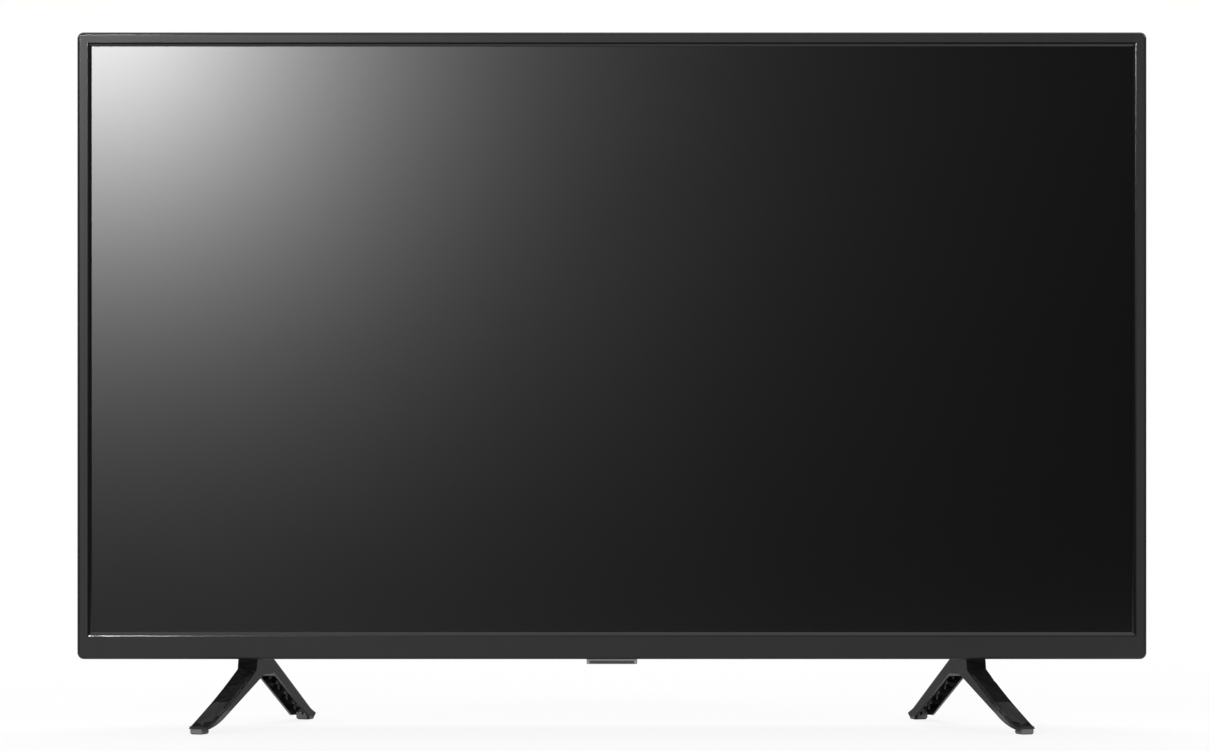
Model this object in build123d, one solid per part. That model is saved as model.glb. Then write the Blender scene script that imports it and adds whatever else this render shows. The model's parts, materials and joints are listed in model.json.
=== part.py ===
"""A flat screen tv on two inverted-V stands, in millimetres.

+X is to the right as the viewer sees it, +Y goes back from the screen and +Z is up.
The origin is on the table, under the middle of the whole set.
Depths are counted from the front face of the bezel, going back.
"""
import math
import os

from build123d import *

# Screen and front frame
screen_width = 941.2
screen_height = 529.4
screen_reveal = 0.5
side_rail = 12.9
top_rail = 12.9
bottom_rail = 24.4
table_clearance = 62.3

# Bezel moulding
bezel_corner_radius = 6.0
bezel_edge_radius = 2.6
bezel_face_thick = 2.5
bezel_wall = 2.0
bezel_skirt = 14.0
bevel_width = 3.6
bevel_drop = 2.2

# Layers of the display, front to back
gasket_thick = 0.5
gasket_width = 3.0
cell_thick = 1.3
cell_border = 4.4
shelf_thick = 2.0
sheet_thick = 0.3
diffuser_plate_thick = 1.5
reflector_thick = 0.4
backlight_room = 19.2
bar_thick = 1.2
chassis_thick = 0.8

# Frames round the layers
frame_fit = 0.4
mid_frame_wall = 2.2
mid_frame_skirt = 13.0
shelf_margin = 1.0
sheet_overlap = 1.4
tray_flange = 6.0
tray_slope_run = 15.0

# Backlight
bar_rows = 3
bar_width = 14.0
bar_length = 840.0
leds_per_bar = 8
chip_size = 3.0
chip_thick = 0.7
lens_radius = 7.5
lens_height = 5.2
lens_well_radius = 2.6
lens_well_depth = 1.6
lens_hole_clear = 1.0
diffuser_post_radius = 3.2
diffuser_post_tip = 1.2
diffuser_post_gap = 0.3
posts_per_row = 4

# Boards and the posts under them
standoff_height = 5.0
standoff_radius = 3.0
board_thick = 1.6
board_inset = 5.0
small_screw_radius = 1.45
small_screw_head_radius = 3.0
small_screw_head_thick = 2.0
screw_bore_clear = 0.05
screw_pass_clear = 0.35
small_screw_grip = 3.0

# Rear cover
cover_wall = 2.3
cover_fit = 0.3
cover_gap = 1.5
cover_depth = 58.0
cover_edge_step = 0.5
cover_slope_run = 18.0
bulge_width = 840.0
bulge_height = 345.0
bulge_side_run = 24.0
bulge_top_run = 34.0
cover_round = 2.5
vent_width = 3.0
vent_length = 26.0
vent_pitch = 8.0
vents_per_field = 24
vent_field_offset = 205.0
vent_drop = 30.0
sound_slot_width = 2.0
sound_slot_length = 14.0
sound_slot_pitch = 5.0
sound_slots = 17

# Cover screws
cover_screw_radius = 1.9
cover_screw_head_radius = 3.8
cover_screw_head_thick = 2.4
cover_screw_well_radius = 5.5
cover_screw_seat = 2.0
cover_screw_inset = 46.0
top_screw_spacing = 262.0
top_screws = 4
side_screw_spacing = 330.0
side_screws = 2
bottom_boss_radius = 4.0
bottom_screw_height = 9.0
bottom_screw_spacing = 250.0
bottom_screws = 4
boss_bore_depth = 8.0

# Wall mount
wall_mount_spacing = 200.0
wall_mount_height = 198.0
wall_nut_radius = 6.5
wall_thread_radius = 3.0
wall_thread_depth = 20.0
wall_nut_sink = 0.6
wall_hole_clear = 0.6

# Main board and what stands on it
main_board_width = 150.0
main_board_height = 190.0
main_board_low = 48.0
socket_wall_x = 268.0
socket_board_setback = 1.0
recess_reach = 62.0
recess_margin = 10.0
recess_floor_gap = 0.7
hdmi_width = 15.2
hdmi_thick = 6.0
hdmi_length = 12.0
hdmi_wall = 0.5
hdmi_tongue = 1.0
hdmi_count = 3
hdmi_pitch = 24.0
hdmi_first = 26.0
usb_width = 14.6
usb_thick = 7.2
usb_length = 14.0
usb_wall = 0.6
usb_tongue = 1.9
usb_count = 2
usb_pitch = 19.0
usb_first = 98.0
lan_width = 16.0
lan_thick = 13.5
lan_length = 16.0
lan_wall = 2.0
lan_place = 137.0
optical_size = 9.8
optical_length = 11.0
optical_bore = 3.2
optical_place = 155.0
antenna_body = 12.0
antenna_place = 172.0
antenna_barrel_radius = 4.8
antenna_bore_radius = 3.6
antenna_reach = 9.0
antenna_pin_radius = 0.6
socket_hole_clear = 0.3
chip_pitch = 34.0
large_chip = 27.0
large_chip_thick = 1.9
small_chip = 12.0
small_chip_thick = 1.1
heatsink_base = 1.6
heatsink_fin = 1.2
heatsink_fins = 6
heatsink_fin_height = 8.0
radio_width = 30.0
radio_height = 18.0
radio_thick = 3.0

# Power board and what stands on it
power_board_width = 172.0
power_board_height = 165.0
power_board_low = 80.0
inlet_wall_x = 291.0
inlet_width = 19.0
inlet_thick = 12.5
inlet_length = 16.0
inlet_lobe_radius = 3.9
inlet_pin_spacing = 8.6
inlet_pin_radius = 1.2
inlet_mouth_depth = 11.5
inlet_place = 50.0
power_recess_height = 62.0
transformer_width = 34.0
transformer_height = 30.0
transformer_thick = 15.0
transformer_bobbin_clear = 3.0
transformer_bobbin_rise = 3.0
transformer_pitch = 46.0
capacitor_radius = 8.0
capacitor_height = 15.5
large_capacitors = 2
small_capacitor_radius = 4.0
small_capacitor_height = 12.0
small_capacitors = 3
capacitor_pitch = 20.0
power_sink_width = 46.0
power_sink_thick = 3.0
power_sink_height = 15.0

# Control board, source boards and the films
control_board_width = 120.0
control_board_height = 60.0
control_board_low = 54.0
source_board_length = 372.0
source_board_offset = 206.0
source_board_thick = 1.0
source_board_start = 14.0
source_board_depth = 14.0
source_ledge_thick = 1.6
source_ledge_width = 30.0
source_ledges = 3
film_thick = 0.15
film_width = 26.0
film_overlap = 4.0
films_per_board = 3
ribbon_thick = 0.4
ribbon_width = 32.0
ribbon_offset = 30.0
ribbon_bend = 3.0
ribbon_socket_thick = 2.4
ribbon_socket_height = 5.0
signal_ribbon_width = 25.0
signal_ribbon_rise = 28.0

# Speakers
speaker_width = 128.0
speaker_height = 42.0
speaker_offset = 208.0
speaker_wall = 2.0
speaker_seat = 0.3
speaker_front_gap = 1.0
speaker_back_gap = 1.0
cone_length = 62.0
cone_width = 17.0
cone_depth = 5.0
cone_rim = 1.2

# Receiver housing and power button
pod_width = 45.9
pod_drop = 4.4
pod_front = 1.2
pod_back = 16.0
pod_wall = 1.2
pod_strip = 1.5
pod_strip_lean = 0.8
pod_corner = 1.0
neck_box_width = 34.0
neck_box_front = 3.6
neck_box_back = 13.2
neck_box_rise = 9.0
pod_slot_clear = 0.3
window_width = 40.0
window_thick = 1.0
window_margin = 0.25
receiver_board_width = 40.0
receiver_board_thick = 1.2
sensor_width = 5.4
sensor_depth = 3.4
sensor_height = 5.8
sensor_offset = 10.0
sensor_lead = 0.6
sensor_leads = 3
button_depth = 8.4
button_radius = 3.0
button_clear = 0.06
button_recess = 0.2
button_flange = 0.5
button_flange_thick = 0.8
button_travel = 0.6
button_rest_gap = 0.05
button_stem_radius = 1.3
switch_body = 6.0
switch_body_height = 3.4
plunger_radius = 1.6
plunger_reach = 1.6
plunger_seat = 1.0

# Stands
stand_offset = 322.0
stand_turn = 22.0
neck_setback = 29.3
leg_width = 19.4
leg_edge_round = 2.6
leg_top_gap = 0.3
front_shoulder_reach = 22.6
front_shoulder_height = 54.9
neck_front_reach = 21.5
front_toe_reach = 121.8
front_toe_height = 6.7
front_sag_reach = 73.1
front_sag_height = 28.4
rear_neck_reach = 13.6
rear_toe_reach = 99.8
rear_toe_height = 6.7
rear_tip_reach = 101.7
rear_tip_height = 5.9
rear_sole_end = 99.4
rear_lip_start = 88.5
rear_lip_end = 95.5
rear_lip_height = 0.6
crotch_front_reach = 7.5
crotch_rear_reach = 14.0
crotch_height = 47.6
crotch_round = 4.0
front_belly_reach = 83.5
front_belly_height = 15.2
front_belly_middle_reach = 101.4
front_belly_middle_height = 8.5
front_sole_reach = 118.4
rear_sole_reach = 86.0
front_sole_height = 5.0
rear_sole_height = 4.2
leg_roof = 3.0
leg_wall = 2.1
leg_rib = 1.6
leg_pocket = 13.0
front_pockets_start = 25.0
front_pockets = 4
rear_pockets_start = 19.0
rear_pockets_end = 90.4
rear_rib_place = 26.0
rear_rib_pitch = 17.0
rear_ribs = 4
rib_recess = 6.0
rear_post_radius = 1.3
scoop_long_radius = 110.0
scoop_cross_radius = 16.0
scoop_middle = 96.0
scoop_depth = 2.2
scoop_side = 0.6
scoop_turn = 4.0
tongue_front = 9.5
tongue_rear = 12.0
tongue_width = 13.0
tongue_height = 12.0
stand_screw_radius = 2.0
stand_screw_head_radius = 3.6
stand_screw_head_thick = 2.2
stand_screw_sink = 3.4
stand_screw_middle = 3.2
stand_screw_spacing = 11.0
stand_screws = 2
bracket_side = 15.5
bracket_front = 15.4
bracket_back = 46.0
bracket_roof = 3.2
bracket_fit = 0.2
pad_edge = 1.4
pad_inset = 0.8
front_pad_length = 14.5
front_pad_lap = 3.2
front_pad_tip_gap = 1.3
front_boss_height = 7.4
rear_pad_length = 6.3
rear_pad_left = 5.4
rear_pad_rise = 3.0
rear_pad_fit = 0.1
rear_pad_notch = 2.2
rear_pad_notch_side = 1.2
rear_pad_notch_depth = 2.6

# Cables
power_lead_radius = 1.6
lead_radius = 1.2
lead_bow = 4.0
lead_share = 0.45
plug_length = 5.0
plug_width = 9.0
plug_thick = 4.5
power_lead_rise = 120.0
power_lead_reach = 28.0
power_lead_dip = 14.0
backlight_plug_inset = 30.0
backlight_lead_rise = 24.0
speaker_plug_place = 14.0
receiver_plug_place = 26.0
right_speaker_plug_place = 85.0
speaker_lead_height = 24.0
receiver_plug_x = 14.0
clip_width = 5.0
clip_wall = 1.0
clip_fit = 0.2
speaker_clip_places = (-100.0, 70.0)
receiver_clip_depth = 24.0

# Overrun of every cut past the surface it opens
overrun = 1.0

# Sizes that follow from the values above
opening_width = screen_width + 2 * screen_reveal
opening_height = screen_height + 2 * screen_reveal
set_width = opening_width + 2 * side_rail
set_height = opening_height + top_rail + bottom_rail
set_low = table_clearance
set_high = set_low + set_height
set_middle = (set_low + set_high) / 2
screen_middle = set_low + bottom_rail + opening_height / 2

turn = math.radians(stand_turn)
front_reach = front_toe_reach * math.cos(turn) + leg_width / 2 * math.sin(turn)
rear_reach = rear_tip_reach * math.cos(turn) + leg_width / 2 * math.sin(turn)
neck_y = (front_reach - rear_reach) / 2
face_y = neck_y - neck_setback

lip_back = bezel_face_thick
cell_front = lip_back + gasket_thick
cell_back = cell_front + cell_thick
shelf_back = cell_back + shelf_thick
diffuser_back = shelf_back + sheet_thick
prism_back = diffuser_back + sheet_thick
diffuser_plate_back = prism_back + diffuser_plate_thick
flange_front = diffuser_plate_back + reflector_thick
floor_front = diffuser_plate_back + backlight_room
bar_front = floor_front + reflector_thick
bar_back = bar_front + bar_thick
chassis_back = bar_back + chassis_thick
board_front = chassis_back + standoff_height
board_back = board_front + board_thick
thin_cover_inside = chassis_back + cover_gap
thin_cover_back = thin_cover_inside + cover_wall
cover_inside = cover_depth - cover_wall

cell_width = screen_width + 2 * cell_border
cell_height = screen_height + 2 * cell_border
cell_low = screen_middle - cell_height / 2
sheet_width = opening_width + 2 * (shelf_margin + sheet_overlap)
sheet_height = opening_height + 2 * (shelf_margin + sheet_overlap)
flange_width = cell_width - 2 * frame_fit
flange_height = cell_height - 2 * frame_fit
tray_width = flange_width - 2 * tray_flange
tray_height = flange_height - 2 * tray_flange
floor_width = tray_width - 2 * tray_slope_run
floor_height = tray_height - 2 * tray_slope_run

cover_width = set_width - 2 * cover_edge_step
cover_height = set_height - 2 * cover_edge_step
cover_start = bezel_skirt + cover_fit
cover_floor = set_low + cover_edge_step + cover_wall
main_board_x = socket_wall_x - cover_wall - socket_board_setback - main_board_width / 2
main_board_left = main_board_x - main_board_width / 2
main_board_right = main_board_x + main_board_width / 2
power_board_x = -inlet_wall_x + cover_wall + socket_board_setback + power_board_width / 2
power_board_left = power_board_x - power_board_width / 2
power_board_right = power_board_x + power_board_width / 2
main_base = set_low + main_board_low
power_base = set_low + power_board_low
control_base = set_low + control_board_low
recess_floor = chassis_back + recess_floor_gap + cover_wall


def upright(depth):
    """The plane at a depth, drawn on as seen from the front: X right and Z up."""
    return Plane(origin=(0, face_y + depth, 0), x_dir=(1, 0, 0), z_dir=(0, -1, 0))


def plate(shape, front, back):
    """A flat shape made solid between two depths."""
    return extrude(upright(back) * shape, back - front)


def taper(front_shape, front, back_shape, back):
    """A solid that runs straight from one flat shape to another."""
    return loft([upright(front) * front_shape, upright(back) * back_shape], ruled=True)


def block(left, right, front, back, low, high):
    """A box between two X places, two depths and two heights."""
    size = Box(right - left, back - front, high - low)
    middle = Pos((left + right) / 2, face_y + (front + back) / 2, (low + high) / 2)
    return middle * size


def rod(x, z, radius, front, back):
    """A round rod along the depth."""
    return plate(Pos(x, z) * Circle(radius), front, back)


def post(x, depth, radius, low, high):
    """A round post along the height."""
    return Pos(x, face_y + depth, (low + high) / 2) * Cylinder(radius, high - low)


def spread(count, pitch):
    """Places of a row of things about its middle."""
    return [(i - (count - 1) / 2) * pitch for i in range(count)]


def mirrored(piece):
    """The same piece on the other side of the set."""
    return mirror(piece, about=Plane.YZ)


def group(pieces):
    """Separate solids kept under one name."""
    return Compound(children=[solid for piece in pieces for solid in piece.solids()])


# Front frame


def bottom_screw_places():
    """X places of the screws along the bottom rail, clear of the receiver and the stands."""
    return spread(bottom_screws, bottom_screw_spacing)


def make_front_bezel():
    outline = RectangleRounded(set_width, set_height, bezel_corner_radius)
    bezel = plate(Pos(0, set_middle) * outline, 0, bezel_skirt)
    front_edges = bezel.edges().group_by(Axis.Y)[0]
    bezel = fillet(front_edges, bezel_edge_radius)
    inside = RectangleRounded(set_width - 2 * bezel_wall, set_height - 2 * bezel_wall,
                              bezel_corner_radius - bezel_wall)
    bezel -= plate(Pos(0, set_middle) * inside, lip_back, bezel_skirt + overrun)
    opening = Pos(0, screen_middle) * Rectangle(opening_width, opening_height)
    bezel -= plate(opening, -overrun, lip_back + overrun)
    wide = Rectangle(opening_width + 2 * bevel_width, opening_height + 2 * bevel_width)
    bezel -= taper(Pos(0, screen_middle) * wide, 0, opening, bevel_drop)
    for x in bottom_screw_places():
        boss = rod(x, set_low + bottom_screw_height, bottom_boss_radius, lip_back, bezel_skirt)
        bezel += boss
        bezel -= rod(x, set_low + bottom_screw_height, cover_screw_radius + screw_bore_clear,
                     bezel_skirt - boss_bore_depth, bezel_skirt + overrun)
    half = neck_box_width / 2 + pod_slot_clear
    slot = block(-half, half, neck_box_front - pod_slot_clear, neck_box_back + pod_slot_clear,
                 set_low - overrun, set_low + bezel_wall + overrun)
    return bezel - slot


def ring(width, height, hole_width, hole_height, front, back):
    """A rectangular ring about the middle of the screen."""
    outline = Rectangle(width, height) - Rectangle(hole_width, hole_height)
    return plate(Pos(0, screen_middle) * outline, front, back)


def make_bezel_gasket():
    hole_width = cell_width - 2 * gasket_width
    hole_height = cell_height - 2 * gasket_width
    return ring(cell_width, cell_height, hole_width, hole_height, lip_back, cell_front)


def screen_slab(width, height, front, back):
    """A flat layer of the display."""
    return plate(Pos(0, screen_middle) * Rectangle(width, height), front, back)


def source_board_sides():
    return [-source_board_offset, source_board_offset]


def film_places():
    """X places of the driver films, as many on each source board."""
    pitch = source_board_length / films_per_board
    return [side + x for side in source_board_sides() for x in spread(films_per_board, pitch)]


def make_mid_frame():
    rim_width = cell_width + 2 * frame_fit
    rim_height = cell_height + 2 * frame_fit
    outer_width = rim_width + 2 * mid_frame_wall
    outer_height = rim_height + 2 * mid_frame_wall
    frame = ring(outer_width, outer_height, rim_width, rim_height, cell_front, mid_frame_skirt)
    window_width_here = opening_width + 2 * shelf_margin
    window_height_here = opening_height + 2 * shelf_margin
    frame += ring(outer_width, outer_height, window_width_here, window_height_here,
                  cell_back, shelf_back)
    ledge_high = cell_low - film_thick - source_board_thick
    ledge_pitch = source_board_length / source_ledges
    for side in source_board_sides():
        for x in spread(source_ledges, ledge_pitch):
            left = side + x - source_ledge_width / 2
            frame += block(left, left + source_ledge_width, mid_frame_skirt - overrun,
                           source_board_start + source_board_depth,
                           ledge_high - source_ledge_thick, ledge_high)
    half = film_width / 2 + frame_fit
    for x in film_places():
        frame -= block(x - half, x + half, cell_back - overrun, shelf_back + overrun,
                       cell_low - frame_fit, cell_low + frame_fit)
    return frame


# Backlight


def bar_heights():
    return [screen_middle + z for z in spread(bar_rows, floor_height / bar_rows)]


def led_places():
    """X and Z of every light on the three bars."""
    pitch = bar_length / leds_per_bar
    return [(x, z) for z in bar_heights() for x in spread(leds_per_bar, pitch)]


def diffuser_post_places():
    """X and Z of the posts, between the bars."""
    pitch = floor_width / posts_per_row
    heights = spread(bar_rows - 1, floor_height / bar_rows)
    return [(x, screen_middle + z) for z in heights for x in spread(posts_per_row, pitch)]


def make_led_bar(z):
    half = bar_length / 2
    return block(-half, half, bar_front, bar_back, z - bar_width / 2, z + bar_width / 2)


def make_led_chips():
    half = chip_size / 2
    return group(block(x - half, x + half, bar_front - chip_thick, bar_front, z - half, z + half)
                 for x, z in led_places())


def make_led_lens(x, z):
    """One domed lens over its chip: a cap of a ball with a well under it."""
    dome_radius = (lens_radius ** 2 + lens_height ** 2) / (2 * lens_height)
    ball = Pos(x, face_y + bar_front - lens_height + dome_radius, z) * Sphere(dome_radius)
    lens = ball & rod(x, z, lens_radius, bar_front - lens_height - overrun, bar_front)
    return lens - rod(x, z, lens_well_radius, bar_front - lens_well_depth, bar_front + overrun)


def tray(width, height, floor_w, floor_h, front, back):
    """The sloping body of a shallow tray."""
    return taper(Pos(0, screen_middle) * Rectangle(width, height), front,
                 Pos(0, screen_middle) * Rectangle(floor_w, floor_h), back)


def pan(flange_w, flange_h, mouth_w, mouth_h, floor_w, floor_h, front, back, thick):
    """A pressed pan: a flat flange, sloping sides and a floor, all of one thickness."""
    outer = tray(mouth_w, mouth_h, floor_w, floor_h, front, back)
    inner = tray(mouth_w - 2 * thick, mouth_h - 2 * thick,
                 floor_w - 2 * thick, floor_h - 2 * thick, front, back - thick)
    flange = screen_slab(flange_w, flange_h, front, front + thick)
    return (flange + outer) - inner


def make_reflector_sheet():
    slack = 2 * (chassis_thick + frame_fit)
    sheet = pan(sheet_width, sheet_height, tray_width - slack, tray_height - slack,
                floor_width - slack, floor_height - slack,
                diffuser_plate_back, bar_front, reflector_thick)
    for x, z in led_places():
        sheet -= rod(x, z, lens_radius + lens_hole_clear, floor_front - overrun, bar_front + overrun)
    return sheet


def make_diffuser_post(x, z):
    height = backlight_room - diffuser_post_gap
    cone = Cone(diffuser_post_radius, diffuser_post_tip, height)
    place = Pos(x, face_y + floor_front - height / 2, z) * Rot(90, 0, 0)
    return place * cone


# Boards: where each one lies and where its screws go


def board_spots():
    """X and Z bounds of the three boards that stand on the chassis."""
    return {
        "main": (main_board_left, main_board_right, main_base, main_base + main_board_height),
        "power": (power_board_left, power_board_right, power_base,
                  power_base + power_board_height),
        "control": (-control_board_width / 2, control_board_width / 2, control_base,
                    control_base + control_board_height),
    }


def board_screw_places(name):
    left, right, low, high = board_spots()[name]
    return [(x, z) for x in (left + board_inset, right - board_inset)
            for z in (low + board_inset, high - board_inset)]


def all_board_screws():
    return [place for name in board_spots() for place in board_screw_places(name)]


def make_board(name):
    left, right, low, high = board_spots()[name]
    board = block(left, right, board_front, board_back, low, high)
    for x, z in board_screw_places(name):
        board -= rod(x, z, small_screw_radius + screw_pass_clear,
                     board_front - overrun, board_back + overrun)
    return board


def make_board_screw(x, z):
    head = rod(x, z, small_screw_head_radius, board_back, board_back + small_screw_head_thick)
    head = chamfer(head.edges().group_by(Axis.Y)[-1], small_screw_head_thick / 3)
    shank = rod(x, z, small_screw_radius, board_front - small_screw_grip, board_back)
    return head + shank


# Chassis and wall mount


def wall_mount_places():
    half = wall_mount_spacing / 2
    middle = set_low + wall_mount_height
    return [(x, middle + z) for x in (-half, half) for z in (-half, half)]


def top_screw_places():
    z = set_high - cover_screw_inset
    return [(x, z) for x in spread(top_screws, top_screw_spacing)]


def side_screw_places():
    """X and Z of the screws down both sides, above the bulge of the cover."""
    x = set_width / 2 - cover_screw_inset
    half = side_screw_spacing / 2
    return [(side * x, set_middle + z) for side in (-1, 1) for z in spread(side_screws, half)]


def cover_tap_places():
    return top_screw_places() + side_screw_places()


def backlight_slot():
    """X and Z of the hole that lets the backlight lead through the chassis."""
    return power_board_right - plug_width, bar_heights()[1]


def make_back_chassis():
    chassis = pan(flange_width, flange_height, tray_width, tray_height,
                  floor_width, floor_height, flange_front, chassis_back, chassis_thick)
    for x, z in all_board_screws():
        chassis += rod(x, z, standoff_radius, chassis_back, board_front)
        chassis -= rod(x, z, small_screw_radius + screw_bore_clear,
                       board_front - small_screw_grip - overrun / 2, board_front + overrun)
    for x, z in cover_tap_places():
        chassis -= rod(x, z, cover_screw_radius + screw_bore_clear,
                       bar_back - overrun, chassis_back + overrun)
    x, z = backlight_slot()
    return chassis - rod(x, z, lead_radius + clip_fit, bar_back - overrun, chassis_back + overrun)


def make_wall_mount_nut(x, z):
    back = cover_depth - wall_nut_sink
    nut = rod(x, z, wall_nut_radius, chassis_back, back)
    return nut - rod(x, z, wall_thread_radius, back - wall_thread_depth, back + overrun)


# Rear cover


def cover_outline(width, height, radius):
    return Pos(0, set_middle) * RectangleRounded(width, height, radius)


def cover_form(wall):
    """The cover's outer form, or with a wall its hollow."""
    shrink = 2 * wall
    front = cover_start - (overrun if wall else 0)
    radius = bezel_corner_radius - cover_edge_step
    radius -= wall if radius > wall else 0
    thin = taper(cover_outline(cover_width - shrink, cover_height - shrink, radius), front,
                 cover_outline(cover_width - shrink - 2 * cover_slope_run,
                               cover_height - shrink - 2 * cover_slope_run, radius),
                 thin_cover_back - wall)
    low = set_low + cover_edge_step + wall
    high = set_low + bulge_height - wall
    width = bulge_width - shrink
    back = cover_depth - wall
    base = Pos(0, (low + high) / 2) * Rectangle(width, high - low)
    end_high = high - bulge_top_run
    end = Pos(0, (low + end_high) / 2) * Rectangle(width - 2 * bulge_side_run, end_high - low)
    straight = plate(base, front, thin_cover_back - wall)
    return thin + straight + taper(base, thin_cover_back - wall, end, back)


def socket_recess(grow):
    """The space beside the sockets, open at the back; grown by a wall for the hollow."""
    low = main_base + hdmi_first - hdmi_width / 2 - recess_margin
    high = main_base + antenna_place + antenna_body / 2 + recess_margin
    return block(socket_wall_x - grow, socket_wall_x + recess_reach + grow,
                 recess_floor - grow, cover_depth + overrun, low - grow, high + grow)


def power_recess(grow):
    """The space beside the mains inlet, open at the back."""
    middle = power_base + inlet_place
    half = power_recess_height / 2
    return block(-inlet_wall_x - recess_reach - grow, -inlet_wall_x + grow,
                 recess_floor - grow, cover_depth + overrun, middle - half - grow,
                 middle + half + grow)


def sound_slot_places():
    return [side * speaker_offset + x for side in (-1, 1)
            for x in spread(sound_slots, sound_slot_pitch)]


def vent_slots():
    """Upright slots near the top of the bulge and again below them, for the air."""
    top = set_low + bulge_height - bulge_top_run - vent_drop
    slots = []
    for side in (-vent_field_offset, vent_field_offset):
        for x in spread(vents_per_field, vent_pitch):
            slot = Rot(0, 0, 90) * SlotOverall(vent_length, vent_width)
            slots.append(plate(Pos(side + x, top) * slot, cover_inside - overrun,
                               cover_depth + overrun))
    return slots


def sound_slots_below():
    middle = speaker_middle_depth()
    return [block(x - sound_slot_width / 2, x + sound_slot_width / 2,
                  middle - sound_slot_length / 2, middle + sound_slot_length / 2,
                  set_low - overrun, cover_floor + overrun) for x in sound_slot_places()]


def socket_holes():
    """Holes in the recess wall that the sockets look out of."""
    clear = socket_hole_clear
    holes = []
    for low, high, back in socket_windows():
        holes.append(block(socket_wall_x - cover_wall - overrun, socket_wall_x + overrun,
                           board_back - clear, back + clear, low - clear, high + clear))
    middle = power_base + inlet_place
    holes.append(block(-inlet_wall_x - overrun, -inlet_wall_x + cover_wall + overrun,
                       board_back - clear, board_back + inlet_thick + clear,
                       middle - inlet_width / 2 - clear, middle + inlet_width / 2 + clear))
    return holes


def socket_windows():
    """Low and high Z and rear depth of each socket on the main board."""
    windows = []
    for i in range(hdmi_count):
        middle = main_base + hdmi_first + i * hdmi_pitch
        windows.append((middle - hdmi_width / 2, middle + hdmi_width / 2, board_back + hdmi_thick))
    for i in range(usb_count):
        middle = main_base + usb_first + i * usb_pitch
        windows.append((middle - usb_width / 2, middle + usb_width / 2, board_back + usb_thick))
    sizes = ((lan_place, lan_width, lan_thick), (optical_place, optical_size, optical_size),
             (antenna_place, antenna_body, antenna_body))
    for place, width, thick in sizes:
        middle = main_base + place
        windows.append((middle - width / 2, middle + width / 2, board_back + thick))
    return windows


def screw_tunnel_radius():
    """Outer radius of the tunnel that leads a screwdriver to a bottom screw."""
    return cover_screw_head_radius + screw_pass_clear + cover_wall / 2


def make_rear_cover():
    cover = cover_form(0)
    cover = fillet(cover.edges().group_by(Axis.Y)[-1], cover_round)
    hollow = cover_form(cover_wall)
    hollow -= socket_recess(cover_wall)
    hollow -= power_recess(cover_wall)
    for x, z in cover_tap_places():
        hollow -= rod(x, z, cover_screw_well_radius + cover_wall, chassis_back,
                      cover_depth + overrun)
    for x in bottom_screw_places():
        hollow -= rod(x, set_low + bottom_screw_height, screw_tunnel_radius(),
                      cover_start - 2 * overrun, cover_depth + overrun)
    cover -= hollow
    cover -= socket_recess(0)
    cover -= power_recess(0)
    seat = chassis_back + cover_screw_seat
    for x, z in cover_tap_places():
        cover += rod(x, z, cover_screw_well_radius, chassis_back + cover_fit, seat)
        cover -= rod(x, z, cover_screw_well_radius, seat, cover_depth)
        cover -= rod(x, z, cover_screw_radius + screw_pass_clear, chassis_back, cover_depth)
    for x in bottom_screw_places():
        z = set_low + bottom_screw_height
        cover -= rod(x, z, cover_screw_head_radius + screw_pass_clear,
                     cover_start + cover_screw_seat, cover_depth + overrun)
        cover -= rod(x, z, cover_screw_radius + screw_pass_clear, cover_start - overrun,
                     cover_depth)
    for x, z in wall_mount_places():
        cover -= rod(x, z, wall_nut_radius + wall_hole_clear, cover_inside - overrun,
                     cover_depth + overrun)
    cover -= vent_slots()
    cover -= sound_slots_below()
    cover -= socket_holes()
    for side in (-1, 1):
        cover -= tongue_hole(side)
    return cover


def make_cover_screw(x, z, end, seat):
    """A pan head screw whose head sits on the bottom of its well."""
    head = rod(x, z, cover_screw_head_radius, seat, seat + cover_screw_head_thick)
    head = fillet(head.edges().group_by(Axis.Y)[-1], cover_screw_head_thick / 3)
    return head + rod(x, z, cover_screw_radius, end, seat)


def make_cover_screws():
    screws = [make_cover_screw(x, z, bar_back - overrun, chassis_back + cover_screw_seat)
              for x, z in cover_tap_places()]
    for x in bottom_screw_places():
        screws.append(make_cover_screw(x, set_low + bottom_screw_height,
                                       bezel_skirt - boss_bore_depth + overrun,
                                       cover_start + cover_screw_seat))
    return group(screws)


# Speakers


def speaker_middle_depth():
    front = chassis_back + speaker_front_gap
    back = cover_inside - speaker_back_gap
    return (front + back) / 2


def make_speaker_box(side):
    front = chassis_back + speaker_front_gap
    back = cover_inside - speaker_back_gap
    low = cover_floor + speaker_seat
    x = side * speaker_offset
    box = block(x - speaker_width / 2, x + speaker_width / 2, front, back,
                low, low + speaker_height)
    box = fillet(box.edges().filter_by(Axis.Z), speaker_wall)
    box -= block(x - speaker_width / 2 + speaker_wall, x + speaker_width / 2 - speaker_wall,
                 front + speaker_wall, back - speaker_wall,
                 low + speaker_wall, low + speaker_height - speaker_wall)
    mouth = Pos(x, face_y + speaker_middle_depth()) * SlotOverall(cone_length, cone_width)
    return box - extrude(Plane.XY.offset(low - overrun) * mouth, speaker_wall + 2 * overrun)


def make_speaker_cone(side):
    """An oval cone that sits on the floor of its box, over the mouth."""
    base = cover_floor + speaker_seat + speaker_wall
    place = Pos(side * speaker_offset, face_y + speaker_middle_depth())
    rim = SlotOverall(cone_length + 2 * cone_rim, cone_width + 2 * cone_rim)
    motor = SlotOverall(cone_length / 2, cone_width / 2)
    outer = loft([Plane.XY.offset(base) * place * rim,
                  Plane.XY.offset(base + cone_depth) * place * motor])
    hollow = loft([Plane.XY.offset(base - overrun / 2) * place * SlotOverall(cone_length, cone_width),
                   Plane.XY.offset(base + cone_depth - cone_rim) * place
                   * SlotOverall(cone_length / 2 - cone_rim, cone_width / 2 - cone_rim)])
    return outer - hollow


# Sockets on the main board


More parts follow.
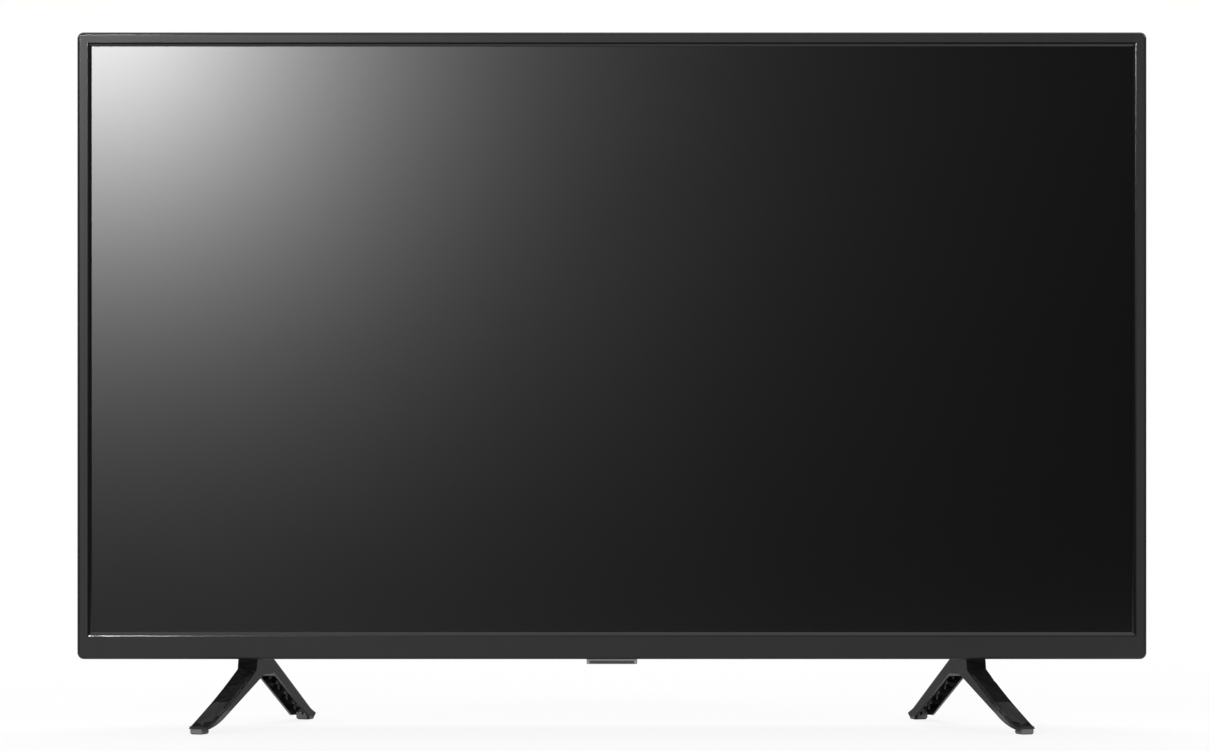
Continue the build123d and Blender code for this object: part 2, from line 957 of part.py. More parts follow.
def side_socket(middle, width, thick, length, wall, tongue):
    """A rectangular socket that faces +X, hollow, with a tongue down its middle."""
    back = board_back + thick
    shell = block(socket_wall_x - length, socket_wall_x, board_back, back,
                  middle - width / 2, middle + width / 2)
    shell -= block(socket_wall_x - length + wall, socket_wall_x + overrun,
                   board_back + wall, back - wall,
                   middle - width / 2 + wall, middle + width / 2 - wall)
    half_tongue = width / 2 - 4 * wall
    shell += block(socket_wall_x - length + wall / 2, socket_wall_x - 2 * wall,
                   board_back + thick / 2 - tongue / 2, board_back + thick / 2 + tongue / 2,
                   middle - half_tongue, middle + half_tongue)
    return shell


def make_hdmi_sockets():
    return group(side_socket(main_base + hdmi_first + i * hdmi_pitch, hdmi_width, hdmi_thick,
                             hdmi_length, hdmi_wall, hdmi_tongue) for i in range(hdmi_count))


def make_usb_sockets():
    return group(side_socket(main_base + usb_first + i * usb_pitch, usb_width, usb_thick,
                             usb_length, usb_wall, usb_tongue) for i in range(usb_count))


def make_lan_socket():
    middle = main_base + lan_place
    body = block(socket_wall_x - lan_length, socket_wall_x, board_back, board_back + lan_thick,
                 middle - lan_width / 2, middle + lan_width / 2)
    return body - block(socket_wall_x - lan_length + lan_wall, socket_wall_x + overrun,
                        board_back + lan_wall, board_back + lan_thick - lan_wall,
                        middle - lan_width / 2 + lan_wall, middle + lan_width / 2 - lan_wall)


def side_rod(depth, z, radius, left, right):
    """A round rod along X."""
    turned = Rot(0, 90, 0) * Cylinder(radius, right - left)
    return Pos((left + right) / 2, face_y + depth, z) * turned


def make_optical_socket():
    middle = main_base + optical_place
    depth = board_back + optical_size / 2
    body = block(socket_wall_x - optical_length, socket_wall_x, board_back,
                 board_back + optical_size, middle - optical_size / 2, middle + optical_size / 2)
    return body - side_rod(depth, middle, optical_bore, socket_wall_x - optical_length / 2,
                           socket_wall_x + overrun)


def make_antenna_socket():
    """A threaded barrel that stands out of its can, with its centre contact."""
    middle = main_base + antenna_place
    depth = board_back + antenna_body / 2
    body = block(socket_wall_x - antenna_body, socket_wall_x, board_back,
                 board_back + antenna_body, middle - antenna_body / 2, middle + antenna_body / 2)
    end = socket_wall_x + antenna_reach
    body += side_rod(depth, middle, antenna_barrel_radius, socket_wall_x - overrun, end)
    body -= side_rod(depth, middle, antenna_bore_radius, socket_wall_x - overrun, end + overrun)
    return body + side_rod(depth, middle, antenna_pin_radius, socket_wall_x - 2 * overrun,
                           end - overrun)


# Parts on the main board


def main_chip_places():
    """X and Z of the large chip and of the two small ones beside it."""
    x = main_board_x - chip_pitch
    z = main_base + main_board_height / 2
    return [(x, z, large_chip, large_chip_thick), (x, z + chip_pitch, small_chip, small_chip_thick),
            (x + chip_pitch, z + chip_pitch, small_chip, small_chip_thick)]


def make_main_chips():
    chips = []
    for x, z, size, thick in main_chip_places():
        chips.append(block(x - size / 2, x + size / 2, board_back, board_back + thick,
                           z - size / 2, z + size / 2))
    return group(chips)


def make_main_heatsink():
    """A finned plate on the large chip."""
    x, z, size, thick = main_chip_places()[0]
    base_front = board_back + thick
    base_back = base_front + heatsink_base
    half = size / 2
    sink = block(x - half, x + half, base_front, base_back, z - half, z + half)
    pitch = (size - heatsink_fin) / (heatsink_fins - 1)
    for offset in spread(heatsink_fins, pitch):
        sink += block(x + offset - heatsink_fin / 2, x + offset + heatsink_fin / 2,
                      base_back - heatsink_base / 2, base_back + heatsink_fin_height,
                      z - half, z + half)
    return sink


def make_radio_module():
    """The screened radio board near the top of the main board."""
    high = main_base + main_board_height - 2 * board_inset
    x = main_board_x
    return block(x - radio_width / 2, x + radio_width / 2, board_back, board_back + radio_thick,
                 high - radio_height, high)


# Power board parts


def make_mains_inlet():
    """A two-pin inlet that faces -X, with a figure-eight mouth."""
    middle = power_base + inlet_place
    depth = board_back + inlet_thick / 2
    body = block(-inlet_wall_x, -inlet_wall_x + inlet_length, board_back,
                 board_back + inlet_thick, middle - inlet_width / 2, middle + inlet_width / 2)
    mouth_end = -inlet_wall_x + inlet_mouth_depth
    half = inlet_pin_spacing / 2
    for z in (middle - half, middle + half):
        body -= side_rod(depth, z, inlet_lobe_radius, -inlet_wall_x - overrun, mouth_end)
    body -= block(-inlet_wall_x - overrun, mouth_end, depth - inlet_lobe_radius,
                  depth + inlet_lobe_radius, middle - half, middle + half)
    for z in (middle - half, middle + half):
        body += side_rod(depth, z, inlet_pin_radius, -inlet_wall_x + 2 * overrun,
                         mouth_end + overrun)
    return body


def transformer_places():
    x = power_board_x + transformer_pitch / 2
    z = power_base + transformer_pitch
    return [(x, z), (x, z + transformer_pitch)]


def make_transformer(x, z):
    """A ferrite core round a wider bobbin, standing on the board."""
    half_w = transformer_width / 2
    half_h = transformer_height / 2
    core = block(x - half_w, x + half_w, board_back, board_back + transformer_thick,
                 z - half_h + transformer_bobbin_clear, z + half_h - transformer_bobbin_clear)
    bobbin = block(x - half_w + transformer_bobbin_clear, x + half_w - transformer_bobbin_clear,
                   board_back, board_back + transformer_thick - transformer_bobbin_rise,
                   z - half_h, z + half_h)
    return core + bobbin


def make_power_capacitors():
    z = power_base + power_board_height - 2 * board_inset - capacitor_radius
    cans = [rod(power_board_left + 2 * capacitor_pitch + i * capacitor_pitch, z,
                capacitor_radius, board_back, board_back + capacitor_height)
            for i in range(large_capacitors)]
    small_x = power_board_right - 2 * board_inset - small_capacitor_radius
    for offset in spread(small_capacitors, capacitor_pitch):
        cans.append(rod(small_x, power_base + power_board_height / 2 + offset,
                        small_capacitor_radius, board_back, board_back + small_capacitor_height))
    rounded = []
    for can in cans:
        top_edges = can.edges().group_by(Axis.Y)[-1]
        rounded.append(fillet(top_edges, board_thick / 2))
    return group(rounded)


def make_power_heatsinks():
    x = power_board_left + 2 * board_inset + power_sink_width / 2
    sinks = []
    for z in (power_base + 2 * board_inset, power_base + inlet_place + inlet_width + board_inset):
        sinks.append(block(x - power_sink_width / 2, x + power_sink_width / 2, board_back,
                           board_back + power_sink_height, z, z + power_sink_thick))
    return group(sinks)


# Source boards, films and ribbons


def make_source_boards():
    high = cell_low - film_thick
    half = source_board_length / 2
    return group(block(x - half, x + half, source_board_start,
                       source_board_start + source_board_depth, high - source_board_thick, high)
                 for x in source_board_sides())


def make_panel_films():
    """Driver films from the lower edge of the cell back to the source boards."""
    half = film_width / 2
    return group(block(x - half, x + half, cell_front, source_board_start + film_overlap,
                       cell_low - film_thick, cell_low) for x in film_places())


def band(points, bend, thick, left, right):
    """A flat ribbon: a line of depths and heights with round bends, thick and wide."""
    line = FilletPolyline(*[(face_y + depth, z) for depth, z in points], radius=bend)
    outline = offset(line, amount=thick / 2, side=Side.BOTH)
    plane = Plane(origin=(left, 0, 0), x_dir=(0, 1, 0), z_dir=(1, 0, 0))
    return extrude(plane * make_face(outline.edges()), right - left)


def ribbon_depth():
    return board_back + ribbon_socket_thick / 2


def ribbon_start_height():
    """Height of a ribbon that lies on a source board."""
    return cell_low - film_thick + ribbon_thick / 2


def make_panel_ribbons():
    """Two ribbons from the source boards, under the chassis and up to the control board."""
    start = source_board_start + source_board_depth - film_overlap
    points = [(start, ribbon_start_height()), (ribbon_depth(), ribbon_start_height()),
              (ribbon_depth(), control_base - ribbon_thick / 2)]
    half = ribbon_width / 2
    return group(band(points, ribbon_bend, ribbon_thick, x - half, x + half)
                 for x in (-ribbon_offset, ribbon_offset))


def signal_height():
    return main_base + signal_ribbon_rise


def make_signal_ribbon():
    """The flat ribbon that carries the picture from the main board to the control board."""
    half = signal_ribbon_width / 2
    middle = ribbon_depth()
    return block(control_board_width / 2, main_board_left,
                 middle - ribbon_thick / 2, middle + ribbon_thick / 2,
                 signal_height() - half, signal_height() + half)


def make_control_parts():
    """Ribbon sockets and the timing chip on the control board, and the main board's socket."""
    parts = []
    half = ribbon_width / 2 + clip_wall
    for x in (-ribbon_offset, ribbon_offset):
        parts.append(block(x - half, x + half, board_back, board_back + ribbon_socket_thick,
                           control_base, control_base + ribbon_socket_height))
    half = signal_ribbon_width / 2 + clip_wall
    for left, right in ((control_board_width / 2 - ribbon_socket_height, control_board_width / 2),
                        (main_board_left, main_board_left + ribbon_socket_height)):
        parts.append(block(left, right, board_back, board_back + ribbon_socket_thick,
                           signal_height() - half, signal_height() + half))
    chip = small_chip / 2
    z = control_base + control_board_height / 2
    parts.append(block(-chip, chip, board_back, board_back + small_chip_thick, z - chip, z + chip))
    return group(parts)


# Receiver housing and button


def make_receiver_housing():
    """The small bar under the bottom rail, and the box above it that plugs into the rail."""
    half = pod_width / 2
    low = set_low - pod_drop
    pod = block(-half, half, pod_front, pod_back, low, set_low)
    pod = fillet(pod.edges().filter_by(Axis.Y).group_by(Axis.Z)[0], pod_corner)
    lean = [(pod_front - overrun, set_low + overrun), (pod_front + pod_strip_lean, set_low + overrun),
            (pod_front + pod_strip_lean, set_low), (pod_front, set_low - pod_strip),
            (pod_front - overrun, set_low - pod_strip)]
    wedge = Polyline(*[(face_y + depth, z) for depth, z in lean], close=True)
    plane = Plane(origin=(-half - overrun, 0, 0), x_dir=(0, 1, 0), z_dir=(1, 0, 0))
    pod -= extrude(plane * make_face(wedge.edges()), pod_width + 2 * overrun)
    box_half = neck_box_width / 2
    high = set_low + neck_box_rise
    pod += block(-box_half, box_half, neck_box_front, neck_box_back, set_low - pod_wall, high)
    pod -= block(-box_half + pod_wall, box_half - pod_wall, neck_box_front + pod_wall,
                 neck_box_back - pod_wall, low + pod_wall, high + overrun)
    pod -= post(0, button_depth, button_radius + button_clear, low - overrun,
                low + pod_wall + overrun)
    window_low = low + pod_strip / 2
    window_high = set_low - pod_strip
    clear_half = window_width / 2 + window_margin
    pod -= block(-clear_half, clear_half, pod_front - overrun,
                 pod_front + window_thick + window_margin,
                 window_low - window_margin, window_high + window_margin)
    sight = neck_box_width / 2 - 2 * pod_wall
    return pod - block(-sight, sight, pod_front, neck_box_front + 2 * pod_wall,
                       low + pod_wall, window_high)


def make_receiver_window():
    """The smoked window in the face of the bar."""
    low = set_low - pod_drop + pod_strip / 2
    high = set_low - pod_strip
    half = window_width / 2
    return block(-half, half, pod_front, pod_front + window_thick, low, high)


def receiver_board_low():
    return set_low + neck_box_rise


def make_receiver_board():
    half = receiver_board_width / 2
    low = receiver_board_low()
    return block(-half, half, neck_box_front, neck_box_back, low, low + receiver_board_thick)


def make_infrared_sensor():
    """The sensor hangs under its board on three leads, behind the window."""
    front = neck_box_front + pod_wall + window_margin
    low = set_low - pod_drop + 2 * pod_wall
    body = block(-sensor_offset - sensor_width / 2, -sensor_offset + sensor_width / 2,
                 front, front + sensor_depth, low, low + sensor_height)
    lead_front = front + sensor_depth / 2
    for x in spread(sensor_leads, sensor_width / sensor_leads):
        left = x - sensor_offset - sensor_lead / 2
        body += block(left, left + sensor_lead, lead_front, lead_front + sensor_lead,
                      low + sensor_height - overrun, receiver_board_low())
    return body


def switch_low():
    return receiver_board_low() - switch_body_height


def make_power_switch():
    half = switch_body / 2
    body = block(-half, half, button_depth - half, button_depth + half, switch_low(),
                 receiver_board_low())
    return body - post(0, button_depth, plunger_radius + button_clear, switch_low() - overrun,
                       switch_low() + plunger_seat + button_travel + button_clear)


def make_switch_plunger():
    return post(0, button_depth, plunger_radius, switch_low() - plunger_reach,
                switch_low() + plunger_seat - button_clear)


def make_power_button():
    """A round key, flush with the bar, held in by its flange, with a stem up to the switch."""
    low = set_low - pod_drop + button_recess
    floor = set_low - pod_drop + pod_wall + button_rest_gap
    cap = post(0, button_depth, button_radius, low, floor + button_flange_thick)
    cap += post(0, button_depth, button_radius + button_flange, floor, floor + button_flange_thick)
    return cap + post(0, button_depth, button_stem_radius, floor, switch_low() - plunger_reach)


# Stands


def leg_place():
    """Where the left stand's own frame lies: its X runs to the front toe, its Y inwards."""
    return Pos(-stand_offset, neck_y, 0) * Rot(0, 0, -(90 + stand_turn))


def leg_top():
    return set_low - leg_top_gap


def leg_side_view():
    """Side view of the inverted V, X to the front toe and Y up."""
    front_sole_tip = front_toe_reach - (front_toe_height - front_sole_height) / 2
    front_edge = ThreePointArc((front_shoulder_reach, front_shoulder_height),
                               (front_sag_reach, front_sag_height),
                               (front_toe_reach, front_toe_height))
    front_belly = ThreePointArc((front_sole_reach, front_sole_height),
                                (front_belly_middle_reach, front_belly_middle_height),
                                (front_belly_reach, front_belly_height))
    lines = [
        Line((-rear_neck_reach, leg_top()), (neck_front_reach, leg_top())),
        Line((neck_front_reach, leg_top()), (front_shoulder_reach, front_shoulder_height)),
        front_edge,
        Line((front_toe_reach, front_toe_height), (front_sole_tip, front_sole_height)),
        Line((front_sole_tip, front_sole_height), (front_sole_reach, front_sole_height)),
        front_belly,
        Line((front_belly_reach, front_belly_height), (crotch_front_reach, crotch_height)),
        Line((crotch_front_reach, crotch_height), (-crotch_rear_reach, crotch_height)),
        Line((-crotch_rear_reach, crotch_height), (-rear_sole_reach, rear_sole_height)),
        Line((-rear_sole_reach, rear_sole_height), (-rear_sole_end, rear_sole_height)),
        Line((-rear_sole_end, rear_sole_height), (-rear_tip_reach, rear_tip_height)),
        Line((-rear_tip_reach, rear_tip_height), (-rear_toe_reach, rear_toe_height)),
        Line((-rear_toe_reach, rear_toe_height), (-rear_neck_reach, leg_top())),
    ]
    return make_face(lines)


def front_top_height(reach):
    """Height of the front limb's upper edge, taken straight between its three points."""
    if reach < front_sag_reach:
        rise = front_shoulder_height - front_sag_height
        share = (reach - front_shoulder_reach) / (front_sag_reach - front_shoulder_reach)
        return front_shoulder_height - rise * share
    share = (reach - front_sag_reach) / (front_toe_reach - front_sag_reach)
    return front_sag_height - (front_sag_height - front_toe_height) * share


def rear_top_height(reach):
    share = (reach - rear_neck_reach) / (rear_toe_reach - rear_neck_reach)
    return leg_top() - (leg_top() - rear_toe_height) * share


def pocket(near, far, top_near, top_far, side):
    """One open pocket in the underside of a limb, from one rib to the next."""
    half = leg_width / 2 - leg_wall
    outline = Polyline((side * near, -overrun), (side * far, -overrun), (side * far, top_far),
                       (side * near, top_near), close=True)
    return extrude(Plane.XZ * make_face(outline.edges()), half, both=True)


def leg_pockets():
    pockets = []
    for i in range(front_pockets):
        near = front_pockets_start + i * (leg_pocket + leg_rib)
        far = near + leg_pocket
        pockets.append(pocket(near, far, front_top_height(near) - leg_roof,
                              front_top_height(far) - leg_roof, 1))
    near = rear_pockets_start
    for rib in rear_rib_places():
        far = rib - leg_rib / 2
        pockets.append(pocket(near, far, rear_top_height(near) - leg_roof,
                              rear_top_height(far) - leg_roof, -1))
        near = rib + leg_rib / 2
    pockets.append(pocket(near, rear_pockets_end, rear_top_height(near) - leg_roof,
                          rear_top_height(rear_pockets_end) - leg_roof, -1))
    pockets.append(pocket(rear_pockets_start, rear_pockets_end,
                          underside_height(rear_pockets_start) + rib_recess,
                          underside_height(rear_pockets_end) + rib_recess, -1))
    return pockets


def rear_rib_places():
    return [rear_rib_place + i * rear_rib_pitch for i in range(rear_ribs)]


def underside_height(reach):
    """Height of the line along the bottom of the rear limb's walls."""
    share = (reach - crotch_rear_reach) / (rear_sole_reach - crotch_rear_reach)
    return crotch_height - (crotch_height - rear_sole_height) * share


def rib_posts():
    """A round post on the middle of each rear rib, where the mould's ejector pin pushes."""
    posts = []
    for reach in rear_rib_places():
        low = underside_height(reach - rear_post_radius)
        high = rear_top_height(reach) - leg_roof / 2
        posts.append(Pos(-reach, 0, (low + high) / 2) * Cylinder(rear_post_radius, high - low))
    return posts


def toe_scoop():
    """The underside of a large ring laid into the toe, hollow both along and across it."""
    fall = math.atan((front_sag_height - front_toe_height) / (front_toe_reach - front_sag_reach))
    lift = scoop_long_radius - scoop_depth
    centre = (scoop_middle + lift * math.sin(fall), -scoop_side,
              front_top_height(scoop_middle) + lift * math.cos(fall))
    ring = Torus(scoop_long_radius - scoop_cross_radius, scoop_cross_radius)
    return Pos(*centre) * Rot(90, scoop_turn, 0) * ring


def leg_block(near, far, left, right, low, high):
    """A box in the left stand's own frame."""
    middle = Pos((near + far) / 2, (left + right) / 2, (low + high) / 2)
    return middle * Box(far - near, right - left, high - low)


def front_pad_block(low, high):
    """The pad's outline under the outer half of the front toe, between two heights."""
    tip = front_toe_reach - front_pad_tip_gap
    return leg_block(tip - front_pad_length, tip, -leg_width / 2 + pad_inset, front_pad_lap,
                     low, high)


def rear_pad_block(fit, low):
    """The pad's outline in the end of the rear limb, less a fit all round."""
    inner = leg_width / 2 - leg_wall
    return leg_block(-rear_pockets_end - rear_pad_length + fit, -rear_pockets_end - fit,
                     -rear_pad_left + fit, inner - fit, low,
                     rear_sole_height + rear_pad_rise - fit)


def rear_lip():
    """The inner wall of the rear toe, which goes down beside the pad almost to the table."""
    outline = Polyline((-rear_sole_reach, rear_tip_height), (-rear_sole_reach, rear_sole_height),
                       (-rear_lip_start, rear_lip_height), (-rear_lip_end, rear_lip_height),
                       (-rear_tip_reach, rear_tip_height), close=True)
    inner = leg_width / 2 - leg_wall
    return Pos(0, inner, 0) * extrude(Plane.XZ * make_face(outline.edges()), -leg_wall)


def stand_screw_places():
    return [-stand_screw_middle + x for x in spread(stand_screws, stand_screw_spacing)]


def make_left_stand():
    half = leg_width / 2
    leg = extrude(Plane.XZ * leg_side_view(), half, both=True)
    rounded = [edge for edge in leg.edges()
               if abs(abs(edge.center().Y) - half) < overrun / 2 and is_top_edge(edge)]
    leg = fillet(rounded, leg_edge_round)
    crotch_edges = [edge for edge in leg.edges().filter_by(Axis.Y)
                    if abs(edge.center().Z - crotch_height) < overrun / 2]
    leg = fillet(crotch_edges, crotch_round)
    leg -= toe_scoop()
    leg -= leg_pockets()
    leg -= rear_pad_block(0, -overrun)
    leg += [front_pad_block(front_sole_height, front_boss_height), rear_lip()]
    leg += rib_posts()
    tongue = Pos((tongue_front - tongue_rear) / 2, 0, leg_top() + tongue_height / 2 - overrun)
    leg += tongue * Box(tongue_front + tongue_rear, tongue_width, tongue_height + 2 * overrun)
    for x in stand_screw_places():
        bore = Pos(x, 0, leg_top()) * Cylinder(stand_screw_radius + screw_pass_clear,
                                               4 * tongue_height)
        well = Pos(x, 0, crotch_height) * Cylinder(stand_screw_head_radius + screw_pass_clear,
                                                   2 * stand_screw_sink)
        leg -= [bore, well]
    return leg_place() * leg


def is_top_edge(edge):
    """Whether an edge of the leg's side lies on its upper outline."""
    middle = edge.center()
    if middle.X > front_shoulder_reach + overrun:
        return middle.Z > front_top_height(middle.X) - leg_roof and middle.Z > front_toe_height
    if middle.X < -rear_neck_reach - overrun:
        return middle.Z > rear_top_height(-middle.X) - leg_roof and middle.Z > rear_toe_height
    return False


def tongue_hole(side):
    """The hole in the cover's floor for a stand's tongue."""
    hole = Pos((tongue_front - tongue_rear) / 2, 0, set_low) * Box(
        tongue_front + tongue_rear + 2 * bracket_fit, tongue_width + 2 * bracket_fit,
        4 * cover_wall)
    placed = leg_place() * hole
    return placed if side < 0 else mirrored(placed)


def make_left_bracket():
    """The block inside the cover that the tongue goes up into and the screws bite in."""
    top = leg_top() + tongue_height + overrun + bracket_fit + bracket_roof
    body = block(-stand_offset - bracket_side, -stand_offset + bracket_side, bracket_front,
                 bracket_back, cover_floor, top)
    body = chamfer(body.edges().filter_by(Axis.Z), bracket_roof / 2)
    pocket_high = top - bracket_roof
    hole = Pos((tongue_front - tongue_rear) / 2, 0, (cover_floor + pocket_high) / 2 - overrun / 2)
    body -= leg_place() * hole * Box(tongue_front + tongue_rear + 2 * bracket_fit,
                                     tongue_width + 2 * bracket_fit,
                                     pocket_high - cover_floor + overrun)
    for x in stand_screw_places():
        body -= leg_place() * Pos(x, 0, top) * Cylinder(stand_screw_radius + screw_bore_clear,
                                                        4 * bracket_roof)
    return body


def make_stand_screws():
    top = leg_top() + tongue_height + overrun + bracket_fit + bracket_roof
    seat = crotch_height + stand_screw_sink
    screws = []
    for x in stand_screw_places():
        head = Pos(x, 0, seat - stand_screw_head_thick / 2) * Cylinder(
            stand_screw_head_radius, stand_screw_head_thick)
        head = fillet(head.edges().group_by(Axis.Z)[0], stand_screw_head_thick / 3)
        shank = Pos(x, 0, (seat + top) / 2) * Cylinder(stand_screw_radius, top - seat)
        screw = leg_place() * (head + shank)
        screws += [screw, mirrored(screw)]
    return group(screws)


def make_front_pads():
    """Rubber pads under the front toes, chamfered round the foot."""
    pad = front_pad_block(0, front_sole_height)
    pad = chamfer(pad.edges().group_by(Axis.Z)[0], pad_edge)
    placed = leg_place() * pad
    return group([placed, mirrored(placed)])


def make_rear_pads():
    """Rubber blocks held in the ends of the rear limbs, each with a notch in its top."""
    pad = rear_pad_block(rear_pad_fit, 0)
    pad = chamfer(pad.edges().group_by(Axis.Z)[0], pad_edge)
    side = rear_pad_notch_side
    top = rear_sole_height + rear_pad_rise
    pad -= leg_block(-rear_pockets_end - rear_pad_length, -rear_pockets_end,
                     side - rear_pad_notch / 2, side + rear_pad_notch / 2,
                     top - rear_pad_notch_depth, top)
    placed = leg_place() * pad
    return group([placed, mirrored(placed)])


# Leads between the boards, and the clips that hold them


def at(x, depth, height):
    """A point of a lead: X, depth and height above the foot of the set."""
    return x, face_y + depth, set_low + height


def lead(name, radius, *points):
    """A round lead along straight runs joined by arcs as large as the runs allow."""
    places = [Vector(*point) for point in points]
    runs = [after - before for before, after in zip(places, places[1:])]
    radii = []
    for before, after in zip(runs, runs[1:]):
        half_turn = math.radians(before.get_angle(after)) / 2
        radii.append(lead_share * min(before.length, after.length) / math.tan(half_turn))
    path = FilletPolyline(*places, radius=radii) if radii else Line(*places)
    print(name, "radii", [round(r, 1) for r in radii], "length", round(path.length, 1))
    return sweep(Plane(origin=path @ 0, z_dir=path % 0) * Circle(radius), path=path)


def plug(x, height, wide, high):
    """A cable plug that stands on the back of a board."""
    low = set_low + height
    return block(x - wide / 2, x + wide / 2, board_back, board_back + plug_thick,
                 low - high / 2, low + high / 2)


def lead_depth():
    """Depth of a lead as it leaves its plug."""
    return board_back + plug_thick / 2


def power_lead_height():
    return power_board_low + power_lead_rise


def clipped_depth():
    """Depth of the power lead where its clip holds it to the chassis."""
    return chassis_back + clip_wall + clip_fit + power_lead_radius


def make_power_lead():
    height = power_lead_height()
    inset = plug_length / 2 + board_inset
    left = power_board_right - inset
    right = main_board_left + inset
    dip = height - power_lead_dip
    straight = power_lead_reach
    tube = lead("power lead", power_lead_radius,
                at(left + plug_length / 2, lead_depth(), height),
                at(left + straight, lead_depth(), height),
                at(left + 2 * straight, clipped_depth(), dip),
                at(right - 2 * straight, clipped_depth(), dip),
                at(right - straight, lead_depth(), height),
                at(right - plug_length / 2, lead_depth(), height))
    return group([tube, plug(left, height, plug_length, plug_width),
                  plug(right, height, plug_length, plug_width)])


def make_backlight_lead():
    slot_x, slot_z = backlight_slot()
    slot_height = slot_z - set_low
    plug_x = power_board_right - backlight_plug_inset
    plug_height = power_board_low + power_board_height - plug_length / 2
    back = lead_depth() + 2 * lead_bow
    tube = lead("backlight lead", lead_radius,
                at(plug_x, lead_depth(), plug_height + plug_length / 2),
                at(plug_x, lead_depth() + lead_bow, plug_height + backlight_lead_rise),
                at(slot_x, back, slot_height),
                at(slot_x, bar_back, slot_height))
    return group([tube, plug(plug_x, plug_height, plug_width, plug_length)])


def lower_plug_height():
    """Height of the plugs along the lower edge of the main board."""
    return main_board_low + plug_length / 2


def speaker_lead_depth():
    return speaker_middle_depth()


def make_speaker_leads():
    """One lead across to the left speaker and a short one down into the right one."""
    left_x = main_board_left + speaker_plug_place
    right_x = main_board_left + right_speaker_plug_place
    drop = main_board_low - speaker_lead_height
    speaker_side = -speaker_offset + speaker_width / 2
    speaker_top = cover_edge_step + cover_wall + speaker_seat + speaker_height
    long_tube = lead("left speaker lead", lead_radius,
                     at(left_x, lead_depth(), main_board_low),
                     at(left_x, (lead_depth() + speaker_lead_depth()) / 2,
                        main_board_low - drop / 2),
                     at(left_x - drop, speaker_lead_depth(), speaker_lead_height),
                     at(speaker_side, speaker_lead_depth(), speaker_lead_height))
    short_tube = lead("right speaker lead", lead_radius,
                      at(right_x, lead_depth(), main_board_low),
                      at(right_x, lead_depth(), speaker_top))
    return group([long_tube, short_tube,
                  plug(left_x, lower_plug_height(), plug_width, plug_length),
                  plug(right_x, lower_plug_height(), plug_width, plug_length)])


def receiver_lead_height():
    return neck_box_rise + receiver_board_thick + plug_thick / 2


def make_receiver_lead():
    """From the receiver board back under the chassis and up to the main board."""
    top_x = main_board_left + receiver_plug_place
    low = receiver_lead_height()
    back = lead_depth() + lead_bow
    receiver_plug = block(receiver_plug_x - plug_length / 2, receiver_plug_x + plug_length / 2,
                          neck_box_front, neck_box_front + plug_width,
                          set_low + low - plug_thick / 2, set_low + low + plug_thick / 2)
    tube = lead("receiver lead", lead_radius,
                at(receiver_plug_x, neck_box_front + plug_width, low),
                at(receiver_plug_x, back, low),
                at(receiver_plug_x + power_lead_reach, back + lead_bow, low + lead_bow / 2),
                at(top_x - power_lead_reach, back + lead_bow, low + lead_bow),
                at(top_x, back, main_board_low - power_lead_dip),
                at(top_x, lead_depth(), main_board_low))
    return group([tube, receiver_plug,
                  plug(top_x, lower_plug_height(), plug_width, plug_length)])


def clip_hole(place, turned, radius):
    return place * turned * Cylinder(radius + clip_fit, 2 * clip_width)


def make_clips():
    """A saddle on the chassis for the power lead, and posts on the cover's floor for the rest."""
    grip = power_lead_radius + clip_fit + clip_wall
    height = power_lead_height() - power_lead_dip
    saddle = block(-clip_width / 2, clip_width / 2, chassis_back, clipped_depth() + grip,
                   set_low + height - grip, set_low + height + grip)
    clips = [saddle - clip_hole(Pos(*at(0, clipped_depth(), height)), Rot(0, 90, 0),
                                power_lead_radius)]
    grip = lead_radius + clip_fit + clip_wall
    for x in speaker_clip_places:
        depth = speaker_lead_depth()
        clip = block(x - clip_width / 2, x + clip_width / 2, depth - grip, depth + grip,
                     cover_floor, set_low + speaker_lead_height + grip)
        clips.append(clip - clip_hole(Pos(*at(x, depth, speaker_lead_height)), Rot(0, 90, 0),
                                      lead_radius))
    low = receiver_lead_height()
    clip = block(receiver_plug_x - grip, receiver_plug_x + grip,
                 receiver_clip_depth - clip_width / 2, receiver_clip_depth + clip_width / 2,
                 cover_floor, set_low + low + grip)
    clips.append(clip - clip_hole(Pos(*at(receiver_plug_x, receiver_clip_depth, low)),
                                  Rot(90, 0, 0), lead_radius))
    return group(clips)


